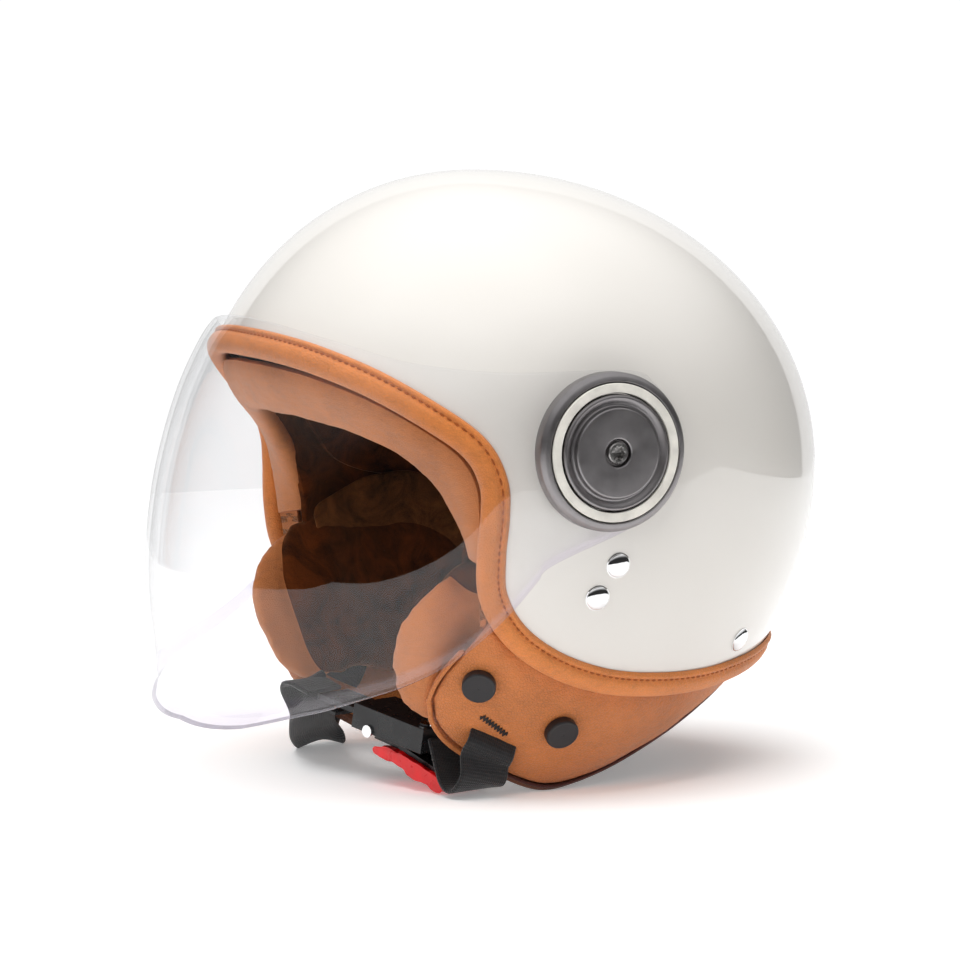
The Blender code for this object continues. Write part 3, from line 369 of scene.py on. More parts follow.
def on_pivot(side):
    """A placement on the visor's axis, pointing out of the shell on the left (1) or right (-1)."""
    return np.array([0, WIDEST_Y, WIDEST_Z]), *square_to((side, 0, 0))


def tube(path, radius, sides=8):
    """Rings round a path."""
    path = np.asarray(path, float)
    tangent = unit(np.gradient(path, axis=0))
    any_way = (0.31, 0.22, 0.93)
    side = unit(np.cross(tangent, any_way))
    up = np.cross(tangent, side)
    angle = np.linspace(0, 2 * np.pi, sides, endpoint=False)[:, None]
    radius = np.broadcast_to(radius, len(path))[:, None, None]
    return path[:, None] + radius * (np.cos(angle) * side[:, None] + np.sin(angle) * up[:, None])


def several(name, bodies, looks):
    """One object from several capped grids of points, such as a row of stitches."""
    points, faces, start = [], [], 0
    for body in bodies:
        rows, columns = body.shape[:2]
        points.append(body.reshape(-1, 3))
        for face in sheet_faces(rows, columns, False, True):
            faces.append([start + i for i in face])
        start += rows * columns
    return make(name, np.concatenate(points), faces, looks)


def capsule(name, top, rows, bottom, looks):
    """An object from rings of points between two poles."""
    rows = np.array(rows)
    count = rows.shape[1]
    points = np.concatenate([[top], rows.reshape(-1, 3), [bottom]])
    faces = []
    for j in range(len(rows) - 1):
        for i in range(count):
            k, a = (i + 1) % count, 1 + j * count
            faces.append([a + i, a + k, a + count + k, a + count + i])
    last = 1 + (len(rows) - 1) * count
    for i in range(count):
        k = (i + 1) % count
        faces.append([0, 1 + k, 1 + i])
        faces.append([len(points) - 1, last + i, last + k])
    return make(name, points, faces, looks)


def push_out(piece, amount):
    """Moves each vertex along its normal by the amount that the function gives for all of them."""
    mesh = piece.data
    count = len(mesh.vertices)
    places = np.zeros(count * 3)
    mesh.vertices.foreach_get("co", places)
    places = places.reshape(-1, 3)
    directions = np.array([v.vector for v in mesh.vertex_normals])
    moved = places + amount(places - CENTRE)[:, None] * directions
    mesh.vertices.foreach_set("co", moved.ravel())
    mesh.update()


# ---------------------------------------------------------------- materials
LEATHER_GRAIN = 0.00022
SOFT_LEATHER = {"pebble": 1300.0, "depth": 0.00018, "roughness": 0.55}
RIBS = 1500.0
EDGE_SHEEN = 0.75


def add_node(tree, kind, sockets, **settings):
    """Adds a shader node. The sockets are constants, or other nodes' outputs to link."""
    made = tree.nodes.new("ShaderNode" + kind)
    for key, value in settings.items():
        setattr(made, key, value)
    for key, value in sockets.items():
        if isinstance(value, bpy.types.NodeSocket):
            tree.links.new(value, made.inputs[key])
        else:
            made.inputs[key].default_value = value
    return made


class Look:
    """A node material: helpers that add one node each and return its output."""

    def __init__(self, name, roughness=0.5, metallic=0.0, **inputs):
        self.material = bpy.data.materials.new(name)
        self.material.use_nodes = True
        self.tree = self.material.node_tree
        self.shader = self.tree.nodes["Principled BSDF"]
        self.shader.inputs["Roughness"].default_value = roughness
        self.shader.inputs["Metallic"].default_value = metallic
        for key, value in inputs.items():
            self.shader.inputs[key.replace("_", " ")].default_value = value

    def node(self, kind, sockets=None, **settings):
        return add_node(self.tree, kind, sockets or {}, **settings)

    def link(self, source, target):
        self.tree.links.new(source, target)

    def place(self, kind="Object"):
        return self.node("TexCoord").outputs[kind]

    def stretched(self, vector, scale):
        return self.node("Mapping", {"Scale": scale, "Vector": vector}).outputs["Vector"]

    def noise(self, vector, scale, detail=3.0, rough=0.5, twist=0.0):
        return self.node("TexNoise", {"Scale": scale, "Detail": detail, "Roughness": rough,
                                      "Distortion": twist, "Vector": vector}).outputs["Fac"]

    def cells(self, vector, scale):
        return self.node("TexVoronoi", {"Scale": scale, "Vector": vector},
                         feature="DISTANCE_TO_EDGE").outputs["Distance"]

    def spread(self, value, low, high, to_low=0.0, to_high=1.0):
        return self.node("MapRange", {"From Min": low, "From Max": high, "To Min": to_low,
                                      "To Max": to_high, "Value": value}).outputs["Result"]

    def math(self, operation, a, b):
        return self.node("Math", {0: a, 1: b}, operation=operation).outputs["Value"]

    def sum(self, *parts):
        """Adds (value, weight) pairs."""
        total = None
        for value, weight in parts:
            scaled = self.math("MULTIPLY", value, weight)
            total = scaled if total is None else self.math("ADD", total, scaled)
        return total

    def shades(self, value, *stops):
        """Colours at positions from 0 to 1."""
        made = self.node("ValToRGB", {"Fac": value})
        ramp = made.color_ramp
        while len(ramp.elements) < len(stops):
            ramp.elements.new(0.5)
        for element, (position, colour) in zip(ramp.elements, stops):
            element.position = position
            element.color = (*colour, 1)
        return made.outputs["Color"]

    def colour(self, socket):
        self.link(socket, self.shader.inputs["Base Color"])

    def rough(self, socket):
        self.link(socket, self.shader.inputs["Roughness"])

    def bump(self, height, distance, strength=1.0):
        made = self.node("Bump", {"Strength": strength, "Distance": distance, "Height": height})
        self.link(made.outputs["Normal"], self.shader.inputs["Normal"])


def shade(colour, amount):
    """A colour made lighter or darker."""
    return tuple(min(1.0, channel * amount) for channel in colour)


def paint_look():
    """Gloss pearl paint: barely uneven colour, fine orange peel, clear coat."""
    look = Look("pearl_cream_paint", 0.30, Coat_Weight=1.0, Coat_Roughness=0.02, Coat_IOR=1.5)
    at = look.place()
    cloudy = look.noise(at, 9.0, 2.0)
    look.colour(look.shades(cloudy, (0.3, (0.80, 0.765, 0.715)), (0.7, (0.83, 0.80, 0.755))))
    look.bump(look.noise(at, 190.0, 1.0), 0.00003, 0.5)
    return look.material


def leather_look(name, colour, pebble=950.0, depth=LEATHER_GRAIN, roughness=0.46, creases=1.0):
    """Leather: pebbled grain, longer creases, cloudy colour, with painted shade in the creases and pebble
    borders and a painted highlight on the crowns.
    """
    look = Look(name, roughness, Specular_IOR_Level=0.45, Sheen_Weight=0.12, Sheen_Roughness=0.5)
    at = look.place()
    pebbles = look.spread(look.cells(at, pebble), 0.0, 0.22)
    fine = look.noise(at, 2600.0, 2.0)
    folds = look.noise(look.stretched(at, (1.0, 1.0, 2.4)), 210.0, 5.0, 0.62, 0.9)
    clouds = look.noise(at, 34.0, 3.0, 0.55)
    height = look.sum((pebbles, 0.55), (folds, 0.9 * creases), (fine, 0.12))
    # the colour follows the folds and pebbles as well as random clouds: painted shade in creases and pebble
    # borders, painted highlight on crowns
    tone = look.sum((clouds, 0.55), (folds, 0.35), (pebbles, 0.12))
    look.colour(look.shades(tone, (0.30, shade(colour, 0.66)), (0.52, colour), (0.74, shade(colour, 1.22))))
    look.rough(look.spread(folds, 0.3, 0.7, roughness - 0.07, roughness + 0.10))
    look.bump(height, depth)
    return look.material


def velour_look(name, dark, light):
    """Short pile brushed one way and another, with sheen; the colour is painted lighter and darker in patches
    where the pile lies differently, a painted sheen.
    """
    look = Look(name, 1.0, Sheen_Weight=0.5, Sheen_Roughness=0.45, Specular_IOR_Level=0.1)
    look.shader.inputs["Sheen Tint"].default_value = (0.75, 0.40, 0.20, 1)
    at = look.place()
    brushed = look.noise(at, 55.0, 5.0, 0.65, 1.2)
    pile = look.noise(at, 2300.0, 2.0)
    # lighter and darker patches where the pile lies different ways: painted sheen in the colour
    tone = look.sum((brushed, 0.85), (pile, 0.25))
    look.colour(look.shades(tone, (0.36, dark), (0.70, light)))
    look.bump(look.sum((pile, 0.5), (brushed, 1.0)), 0.0004)
    return look.material


def web_look(name, colour):
    """Woven webbing: ribs along the run crossed by yarns, from UVs in metres; the ribs are painted lighter
    and the grooves darker, a painted sheen and shade.
    """
    look = Look(name, 0.62, Sheen_Weight=0.25, Sheen_Roughness=0.4)
    at = look.place("UV")
    waves = [look.node("TexWave", {"Scale": scale, "Distortion": 0.6, "Detail": 1.0, "Vector": at},
                       bands_direction=way) for way, scale in (("X", RIBS / 6.28), ("Y", RIBS / 4.2))]
    weave = look.sum(*((wave.outputs["Fac"], 0.5) for wave in waves))
    # the weave in the colour is painted sheen on the ribs and painted shade between them; the noise is random
    # tone
    tone = look.sum((weave, 0.7), (look.noise(look.place(), 400.0), 0.4))
    look.colour(look.shades(tone, (0.25, shade(colour, 0.45)), (0.8, shade(colour, 1.7))))
    look.bump(weave, 0.00025)
    return look.material


def metal_look(name, colour, roughness, turned=0.0, worn=0.06):
    """Metal or metallised plastic: cloudy roughness, and fine turned rings about the visor's axis."""
    look = Look(name, roughness, 1.0)
    at = look.place()
    clouds = look.noise(at, 160.0, 4.0)
    look.colour(look.shades(clouds, (0.3, shade(colour, 0.90)), (0.7, shade(colour, 1.08))))
    look.rough(look.spread(clouds, 0.3, 0.7, max(0.02, roughness - worn), roughness + worn))
    if turned:
        away = look.node("VectorMath", {0: at, 1: HINGE}, operation="SUBTRACT")
        flat = look.stretched(away.outputs["Vector"], (0.0, 1.0, 1.0))
        radius = look.node("VectorMath", {0: flat}, operation="LENGTH").outputs["Value"]
        rings = look.node("TexNoise", {"Scale": 5200.0, "Detail": 2.0, "W": radius}, noise_dimensions="1D")
        look.bump(rings.outputs["Fac"], turned)
    else:
        look.bump(look.noise(at, 900.0, 3.0), 0.00003, 0.6)
    return look.material


def plastic_look(name, colour, roughness, texture=0.00006, scale=1400.0, coat=0.0):
    """Moulded plastic: fine spark texture, slightly cloudy gloss."""
    look = Look(name, roughness, Coat_Weight=coat, Coat_Roughness=0.08)
    at = look.place()
    clouds = look.noise(at, 120.0, 3.0)
    look.colour(look.shades(clouds, (0.3, shade(colour, 0.86)), (0.7, shade(colour, 1.12))))
    look.rough(look.spread(clouds, 0.3, 0.7, roughness - 0.05, roughness + 0.08))
    look.bump(look.noise(at, scale, 2.0), texture)
    return look.material


def clear_look(name, tint, haze):
    """Clear polycarbonate: what is behind it shows, with the surface's own reflection on top."""
    look = Look(name)
    look.tree.nodes.remove(look.shader)
    through = look.node("BsdfTransparent")
    at = look.place()
    smudges = look.noise(at, 26.0, 3.0)
    look.link(look.shades(smudges, (0.3, shade(tint, 0.992)), (0.7, tint)), through.inputs["Color"])
    gloss = look.node("BsdfGlossy", {"Roughness": 0.015})
    facing = look.node("LayerWeight", {"Blend": 0.5})
    edge_on = look.math("POWER", facing.outputs["Facing"], 5.0)
    share = look.math("ADD", look.math("MULTIPLY", edge_on, EDGE_SHEEN), haze)
    mix = look.node("MixShader", {0: share, 1: through.outputs[0], 2: gloss.outputs[0]})
    shadow = look.node("LightPath").outputs["Is Shadow Ray"]
    clear = look.node("BsdfTransparent").outputs[0]
    unshaded = look.node("MixShader", {0: shadow, 1: mix.outputs[0], 2: clear})
    look.link(unshaded.outputs[0], look.tree.nodes["Material Output"].inputs["Surface"])
    return look.material


def all_looks():
    """Every material by a short name."""
    return {
        "paint": paint_look(),
        "trim": leather_look("tan_trim_leather", (0.70, 0.225, 0.050)),
        "brow": leather_look("brow_pad_leather", (0.57, 0.200, 0.062), **SOFT_LEATHER),
        "cheek": leather_look("cheek_pad_leather", (0.58, 0.200, 0.062), **SOFT_LEATHER),
        "roll": leather_look("neck_roll_leather", (0.58, 0.185, 0.045), pebble=800.0, depth=0.0003),
        # darker leather for the slot beside the cheek cushion: painted shade of the gap
        "gusset": leather_look("gusset_painted_shade_leather", (0.30, 0.11, 0.032), 620.0, 0.0006, creases=1.5),
        "piping": leather_look("piping_leather", (0.085, 0.016, 0.010), pebble=1500.0),
        "binding": leather_look("binding_leather", (0.17, 0.055, 0.022), pebble=1200.0),
        "thread": plastic_look("stitching_thread", (0.40, 0.105, 0.02), 0.6),
        "black_thread": plastic_look("black_thread", (0.012, 0.010, 0.010), 0.6),
        "velour": velour_look("brown_velour", (0.008, 0.0016, 0.0003), (0.13, 0.029, 0.004)),
        "velour_light": velour_look("light_brown_velour", (0.030, 0.009, 0.002), (0.22, 0.075, 0.020)),
        "foam": plastic_look("bead_foam", (0.012, 0.007, 0.005), 0.9, 0.0006, 420.0),
        "snap": plastic_look("black_snap_cap", (0.013, 0.012, 0.014), 0.46, 0.00003),
        "chrome": metal_look("polished_chrome", (0.86, 0.86, 0.87), 0.045, worn=0.02),
        "steel": metal_look("zinc_steel", (0.42, 0.41, 0.40), 0.30),
        "brass": metal_look("turned_brass", (0.72, 0.50, 0.22), 0.28),
        "gunmetal": metal_look("satin_gunmetal", (0.30, 0.285, 0.29), 0.42, turned=0.00003, worn=0.04),
        "cream": plastic_look("cream_ring_plastic", (0.83, 0.80, 0.73), 0.38, 0.00002),
        "black": plastic_look("black_buckle_plastic", (0.008, 0.008, 0.009), 0.28, 0.00004),
        "nylon": plastic_look("nylon_washer", (0.06, 0.06, 0.06), 0.5),
        "webbing": web_look("black_webbing", (0.008, 0.008, 0.009)),
        "red": plastic_look("red_coated_tape", (0.80, 0.002, 0.005), 0.28, 0.00008, 700.0, coat=0.3),
        "clear": clear_look("clear_polycarbonate", (0.992, 0.993, 0.997), 0.030),
        "clear_edge": clear_look("polycarbonate_edge", (0.55, 0.52, 0.60), 0.30),
        "clear_lip": clear_look("polycarbonate_lip", (0.945, 0.93, 0.972), 0.07),
    }


# ---------------------------------------------------------------- shell and linings
def dome_rows(edge, depth, rings):
    """Rings of points from the pole to an edge loop, at a depth, and the pole's own point."""
    middle = np.array([0, WIDEST_Y, 0])
    pole, to_edge = unit(POLE), unit(edge - middle)
    full = np.arccos(np.clip(to_edge @ pole, -1, 1))[:, None]
    rows = []
    for part in np.linspace(0, 1, rings + 1)[1:]:
        turn = (np.sin((1 - part) * full) * pole + np.sin(part * full) * to_edge) / np.sin(full)
        on = skin_along(middle + turn)
        rows.append(below(on, depth(on) if callable(depth) else depth))
    top = skin_along(middle + pole)
    return rows, below(top, depth(top) if callable(depth) else depth)


def bowl(name, edge, outer, inner, rings, look):
    """A bowl between two depths, closed round its rim."""
    rows_out, top = dome_rows(edge, outer, rings)
    rows_in, bottom = dome_rows(edge, inner, rings)
    return capsule(name, top, rows_out + rows_in[::-1], bottom, look)


def shell(looks):
    """The hard shell, shaded with the surface's exact normals."""
    crest = edge_loop(CREST, 240)
    back_from_crest = 0.0026
    rim = skin_along(crest - back_from_crest * outward(crest))
    made = bowl("shell", rim, 0.0, SHELL_WALL, 44, looks["paint"])
    mesh = made.data
    places = np.array([v.co for v in mesh.vertices]) - CENTRE
    facing = np.array([n.vector for n in mesh.vertex_normals])
    exact = normal(places)
    exact *= np.sign(np.sum(exact * facing, axis=1, keepdims=True))
    mesh.normals_split_custom_set_from_vertices(exact.tolist())
    keep(made, replaces=["outer_shell"])


def liner_depth(on):
    """Depth of the velour's face: a crown panel and side panels that puff up between sunk seams."""
    seam_width, seam_depth = 0.0035, 0.0022
    side_seam = np.abs(on[..., 0]) - 0.047
    cross_seam = on[..., 1] - 0.046
    sunk = np.maximum(hill(side_seam, seam_width), 0.8 * hill(cross_seam, seam_width))
    return LINER_INNER - 0.0004 - seam_depth * sunk


def liners(looks):
    """The velour crown lining, the facing in front of it, and the nape lining."""
    edge = edge_loop(LINER_EDGE, 160)
    made = bowl("crown_lining", edge, LINER_OUTER, liner_depth, 30, looks["velour"])
    push_out(made, lambda at: 0.0005 * grain(at, 70.0))
    keep(made, replaces=["comfort_liner"])

    front, back = span(FACING_FRONT, 160), span(FACING_BACK, 160)
    shares = np.linspace(0, 1, 14)
    rows = []
    for steps, depth, puff in ((shares, 0.0262, 0.0010), (shares[::-1], 0.0285, 0.0018)):
        for share in steps:
            line = skin_along(front + share * (back - front))
            rows.append(below(line, depth + puff * np.sin(np.pi * share)))
    facing = grid("lining_facing", np.stack(rows, 1), looks["velour"], caps=True)
    keep(facing)
    nape(looks)


def nape(looks):
    """The thin lining of the shell's inner wall between the crown lining and the neck roll."""
    top, bottom = both_sides(spline(NAPE_TOP, 70)), both_sides(spline(NAPE_BOTTOM, 70))
    rows = []
    for shares, inner in ((np.linspace(0, 1, 12), 0), (np.linspace(1, 0, 12), 1)):
        for share in shares:
            puff = (0.0022 + 0.0016 * np.sin(np.pi * share)) * inner
            rows.append(under(top + share * (bottom - top), SHELL_WALL + 0.0003 + puff))
    made = grid("nape_lining", np.stack(rows, 1), looks["velour"], caps=True)
    keep(made)


# ---------------------------------------------------------------- leather trim
TRIM_SECTION = [(-TRIM_BAND, -0.0002), (-TRIM_BAND - 0.0003, -0.0010), (-TRIM_BAND + 0.0003, -0.0019),
                (-TRIM_BAND + 0.0011, -0.0021), (-TRIM_BAND + 0.0018, -0.0016), (STITCH_LINE, -0.0013),
                (-0.0074, -0.0019), (-0.0060, -0.0027), (-0.0036, -0.0028), (-0.0014, -0.0019),
                (0.0002, 0.0000), (0.0006, 0.0024), (-0.0004, 0.0048), (-0.0026, 0.0062), (-0.0052, 0.0058),
                (-0.0052, 0.0042), (-0.0020, 0.0040), (-0.0017, 0.0012), (-0.0024, -0.0002)]


def stitches(crest, across, run, pitch, looks):
    """The row of stitches along the band's outer border, each one a thread that dips at both ends."""
    thin, thicker, seam_depth, dip = 0.00022, 0.00018, -0.0016, 0.0004
    arc = np.sin(np.linspace(0, np.pi, 6))

    def along(line, at):
        closed = np.concatenate([line, line[:1]])
        return np.stack([np.interp(at % run[-1], run, closed[:, i]) for i in range(3)], 1)

    threads = []
    for start in np.arange(round(run[-1] / pitch)) * pitch:
        at = start + np.linspace(0.14, 0.86, 6) * pitch
        path = skin_along(along(crest, at) + STITCH_LINE * along(across, at))
        path = below(path, seam_depth + dip * (1 - arc))
        threads.append(tube(path, thin + thicker * arc, 6))
    keep(several("edge_trim_stitches", threads, looks["thread"]))


def trim(looks):
    """The padded leather band folded over the shell's edge, with its bead and stitches."""
    crest = edge_loop(CREST, 720)
    across = outward(crest)
    run = lengths(crest, closed=True)
    pitch = run[-1] / round(run[-1] / STITCH_PITCH)
    pulled = np.cos(2 * np.pi * run[:-1] / pitch)
    creased = grain(crest, 160.0)
    ripple = 0.00022
    rows = []
    for reach, depth in spline(TRIM_SECTION, 64, closed=True):
        seam = hill(reach - STITCH_LINE, 0.0016) * (depth < 0)
        crown = hill(reach + 0.0055, 0.0035) * (depth < 0)
        lift = ripple * (pulled * seam + creased * crown)
        rows.append(below(skin_along(crest + reach * across), depth - lift))
    band = grid("edge_trim_band", np.stack(rows, 1), looks["trim"], round_rows=True)
    keep(band, replaces=["edge_trim", "trim_bead"])
    stitches(crest, across, run, pitch, looks)


def brow(looks):
    """The padded band inside the brow: crowned face, rolled lip, and a seam inside the lip."""
    count, depth_scale = 220, 0.030
    crest = span(BROW_CREST, count)
    run = below(span(BROW_LIP, count), LIP_DEPTH) - crest
    reach = np.linalg.norm(run, axis=1, keepdims=True)
    run = run / reach
    face = unit(np.cross(run, np.gradient(crest, axis=0)))
    forward = face * np.sign(-face[count // 2, 1])
    # (reach along the band, height off it, 0 when measured from the crest and 1 from the lip)
    section = [(0.0066, -0.0020, 0), (0.0100, 0.0002, 0), (0.0150, 0.0014, 0), (-0.0060, 0.0012, 1),
               (-0.0012, 0.0000, 1), (0.0012, -0.0020, 1), (0.0018, -0.0045, 1), (0.0006, -0.0070, 1),
               (-0.0030, -0.0086, 1), (0.0160, -0.0076, 0), (0.0088, -0.0062, 0)]
    outline = spline([(a, lift, far * depth_scale) for a, lift, far in section], 56, closed=True)
    rows = [crest + (a + far / depth_scale * reach) * run + lift * forward for a, lift, far in outline]
    pad = grid("brow_band", np.stack(rows, 1), looks["brow"], caps=True)
    push_out(pad, lambda at: 0.00035 * grain(at, 60.0) + 0.00018 * grain(at * (1, 1, 2.2), 230.0, 4.0))
    keep(pad, replaces=["brow_pad"])


# ---------------------------------------------------------------- cheek pads and neck roll
def cushion_top(azimuth):
    """Depth of the cheek cushion's outer face: nearly flush in front of the neck roll, deep behind it."""
    return 0.002 + 0.0192 * ease(azimuth, 50, 66)


def cushion_bottom(azimuth):
    """Depth of the cheek cushion's face against the cheek."""
    return 0.014 + 0.022 * ease(azimuth, 44, 64)


def pillow(name, side, outline, middle, shallow, deep, looks, count=110, rings=22, power=4.0):
    """A cushion in depth under the skin, rounded at its rim, on the left (1) or right (-1)."""
    rim = spline(outline, count, closed=True)
    middle = np.array(middle)
    shares = np.sin(np.linspace(0, np.pi / 2, rings + 1))[1:]
    puff = (1 - shares ** power) ** 0.5
    rows = []
    for share, rise in list(zip(shares, puff)) + list(zip(shares[-2::-1], -puff[-2::-1])):
        spot = middle + share * (rim - middle)
        top, bottom = shallow(spot[:, 0]), deep(spot[:, 0])
        rows.append(under(spot, (top + bottom) / 2 - rise * (bottom - top) / 2, side))
    centre = skin(side * middle[0], middle[1])
    return capsule(name, below(centre, shallow(middle[0])), rows, below(centre, deep(middle[0])), looks)


def applied(piece):
    """Replaces a piece's mesh by what its modifiers make of it."""
    bpy.context.view_layer.update()
    graph = bpy.context.evaluated_depsgraph_get()
    mesh = bpy.data.meshes.new_from_object(piece.evaluated_get(graph))
    piece.modifiers.clear()
    piece.data = mesh


def inflate(piece, pressure, cap):
    """Cloth simulation with inner pressure; no vertex moves further than the cap."""
    frames, stiffness, bending = 20, 25.0, 2.0
    rest = np.array([v.co for v in piece.data.vertices])
    cloth = piece.modifiers.new("cloth", "CLOTH")
    cloth.settings.use_pressure = True
    cloth.settings.uniform_pressure_force = pressure
    cloth.settings.effector_weights.gravity = 0.0
    cloth.settings.tension_stiffness = stiffness
    cloth.settings.compression_stiffness = stiffness
    cloth.settings.bending_stiffness = bending
    cloth.point_cache.frame_start = 1
    cloth.point_cache.frame_end = frames
    for number in range(1, frames + 1):
        bpy.context.scene.frame_set(number)
    graph = bpy.context.evaluated_depsgraph_get()
    step = np.array([v.co for v in piece.evaluated_get(graph).data.vertices]) - rest
    piece.modifiers.clear()
    bpy.context.scene.frame_set(1)
    size = np.linalg.norm(step, axis=1, keepdims=True)
    capped = rest + step * np.minimum(1, cap / np.maximum(size, 1e-9))
    piece.data.vertices.foreach_set("co", capped.ravel())


def swell(piece, voxel, pressure, cap):
    remesh = piece.modifiers.new("even", "REMESH")
    remesh.mode = "VOXEL"
    remesh.voxel_size = voxel
    applied(piece)
    inflate(piece, pressure, cap)
    work = bmesh.new()
    work.from_mesh(piece.data)
    for _ in range(2):
        bmesh.ops.smooth_vert(work, verts=work.verts, factor=0.5,
                              use_axis_x=True, use_axis_y=True, use_axis_z=True)
    work.to_mesh(piece.data)
    work.free()
    finer = piece.modifiers.new("finer", "SUBSURF")
    finer.levels = finer.render_levels = 1
    applied(piece)
    piece.data.shade_smooth()


def seam_inside(pad, side):
    """Cuts a cushion's mesh along its inner seam, sinks the seam, and gives the part behind it the velour.

    The seam lies in the plane through three points inside the skin: high and low in front, and one behind.
    """
    high, low = below(skin(side * 54, -0.042), 0.0200), below(skin(side * 49, -0.088), 0.0180)
    outer = skin(side * 80, -0.066)
    across = unit(np.cross(low - high, below(outer, 0.0200) - high))
    across = across * np.sign(np.dot(across, below(outer, 0.030) - high))
    seam_depth, seam_width = 0.0013, 0.0016

    def behind(point):
        return np.dot(np.array(point) - CENTRE - high, across)

    work = bmesh.new()
    work.from_mesh(pad.data)
    bmesh.ops.bisect_plane(work, geom=work.verts[:] + work.edges[:] + work.faces[:],
                           plane_co=Vector(high + CENTRE), plane_no=Vector(across))
    for face in work.faces:
        face.material_index = int(behind(face.calc_center_median()) > 0)
        face.smooth = True
    work.normal_update()
    for vertex in work.verts:
        vertex.co -= vertex.normal * float(seam_depth * hill(behind(vertex.co), seam_width))
    work.to_mesh(pad.data)
    work.free()


def cheeks(looks):
    """Cheek cushions, leather in front and velour against the cheek, with the side pads above them."""
    for side, hand in SIDES:
        full = [(azimuth - 0.4 * (azimuth < 56), z) for azimuth, z in CHEEK_OUTLINE]
        pad = pillow(f"cheek_cushion_{hand}", side, full, CHEEK_MIDDLE, lambda a: cushion_top(a) + 0.0004,
                     lambda a: cushion_bottom(a) - 0.0006, [looks["cheek"], looks["velour"]])
        swell(pad, voxel=0.0032, pressure=3.0, cap=0.0016)
        seam_inside(pad, side)
        push_out(pad, lambda at: 0.0005 * grain(at, 48.0) + 0.00022 * grain(at, 170.0, 3.0))
        keep(pad, replaces=[f"cheek_pad_{hand}"])

        lobe = pillow(f"lining_side_pad_{hand}", side, LINER_LOBE, (86, -0.030), lambda a: 0.0302 + 0 * a,
                      lambda a: 0.0352 + 0 * a, looks["velour_light"], count=90, rings=12, power=3.0)
        push_out(lobe, lambda at: 0.0004 * grain(at, 90.0))
        keep(lobe)
        gussets(side, hand, looks)


def gussets(side, hand, looks):
    """Two leather strips, in one place, that close the slot between the edge band and the cheek cushion; the
    darker one is painted shade, standing for the shaded gap.
    """
    azimuth, width = 66.6, 1.3
    near, middle, far = 0.0078, 0.0125, 0.0175
    ring = [(0, near), (0, middle), (0, far), (width, far), (width, middle), (width, near)]
    heights = np.linspace(-0.016, -0.052, 30)
    rows = [under(np.stack([np.full(30, azimuth + back), heights], 1), depth, side) for back, depth in ring]
    # cheek_gusset takes the darker leather: painted shade where the slot lies in shadow
    for name, look, scale in (("temple_gusset", "cheek", 300.0), ("cheek_gusset", "gusset", 420.0)):
        strip = grid(f"{name}_{hand}", np.stack(rows, 1), looks[look], caps=True)
        push_out(strip, lambda at: 0.0003 * grain(at, scale))
        keep(strip)


def roll_dimple(spots):
    """How far the leather is drawn in round the snaps and the strap's slot, at (azimuth, height) spots."""
    sunk = 0
    dimples = [(spot, 0.0016, 0.0105) for spot in SNAPS.values()] + [(SLOT, 0.0012, 0.0120)]
    for (azimuth, z), deep, wide in dimples:
        away = np.hypot((np.abs(spots[:, 0]) - azimuth) * METRES_PER_DEGREE, spots[:, 1] - z)
        sunk = sunk + deep * hill(away, wide)
    return sunk


def neck(looks):
    """The neck roll's padded leather with its edging, snaps and strap bartacks."""
    top, bottom = both_sides(spline(ROLL_TOP, 150)), both_sides(spline(ROLL_BOTTOM, 150))
    # (share of the way from top to bottom, depth)
    section = [(0.0, ROLL_OUTER + 0.0028), (0.08, ROLL_OUTER + 0.0020), (0.22, ROLL_OUTER + 0.0004),
               (0.45, ROLL_OUTER - 0.0004), (0.70, ROLL_OUTER - 0.0004), (0.88, ROLL_OUTER + 0.0001),
               (0.965, ROLL_OUTER + 0.0009), (0.985, ROLL_OUTER + 0.0024), (0.965, ROLL_INNER - 0.0006),
               (0.8, ROLL_INNER), (0.4, ROLL_INNER), (0.10, ROLL_INNER), (0.0, ROLL_INNER - 0.0006)]
    height = 0.05
    rows = []
    for fall, depth in spline([(share * height, depth) for share, depth in section], 64, closed=True):
        spots = top + fall / height * (bottom - top)
        outer = ease(-depth, -0.0066, -0.0046)
        rows.append(under(spots, depth + outer * roll_dimple(spots)))
    roll = grid("neck_roll_leather", np.stack(rows, 1), looks["roll"], caps=True)
    push_out(roll, lambda at: 0.00035 * grain(at, 55.0) + 0.00015 * grain(at, 240.0, 5.0))
    keep(roll, replaces=["neck_roll"])
    edging(top, bottom, looks)
    for side, hand in SIDES:
        snaps(side, hand, looks)
        bartack(side, hand, looks)


def edging(top, bottom, looks):
    """The piping and tape along the roll's lower edge, and the folded leather up its two front edges."""
    depth = ROLL_OUTER + 0.0012
    rim = under(bottom, depth)
    drop = unit(rim - under(top, depth))
    out = normal(skin(bottom[:, 0], bottom[:, 1]))
    start = int(np.argmax(bottom[:, 1] < -0.1085))
    base = slice(start, len(bottom) - start)
    cord = tube((rim - 0.0004 * drop + 0.0009 * out)[base], 0.0007)
    keep(grid("neck_piping", cord, looks["piping"], caps=True))
    tape = rounded([(0.0003, 0.0008), (0.0026, 0.0004), (0.0030, -0.0030), (0.0006, -0.0034)], 0.0008)
    rows = np.stack([rim + fall * drop + rise * out for fall, rise in tape], 1)
    for name, part, look in (("neck_binding_tape", rows[base], "binding"),
                             ("neck_front_fold_left", rows[5:start + 1], "roll"),
                             ("neck_front_fold_right", rows[-start - 1:-5], "roll")):
        keep(grid(name, part, looks[look], caps=True), replaces=["neck_binding"])


def snaps(side, hand, looks):
    """The two snap caps of one side, with a rim and a sunk middle."""
    cap = rounded([(-0.0044, 0.0001), (-0.0044, 0.0069), (-0.0012, 0.0069), (-0.0005, 0.0064),
                   (-0.0008, 0.0056), (-0.0006, 0.0001)], 0.0004)
    for name, (azimuth, z) in SNAPS.items():
        piece = grid(f"{name}_snap_cap_{hand}", lathe(cap, on_skin(side * azimuth, z)), looks["snap"],
                     round_rows=True)
        keep(piece, replaces=[f"{name}_snap_{hand}"])


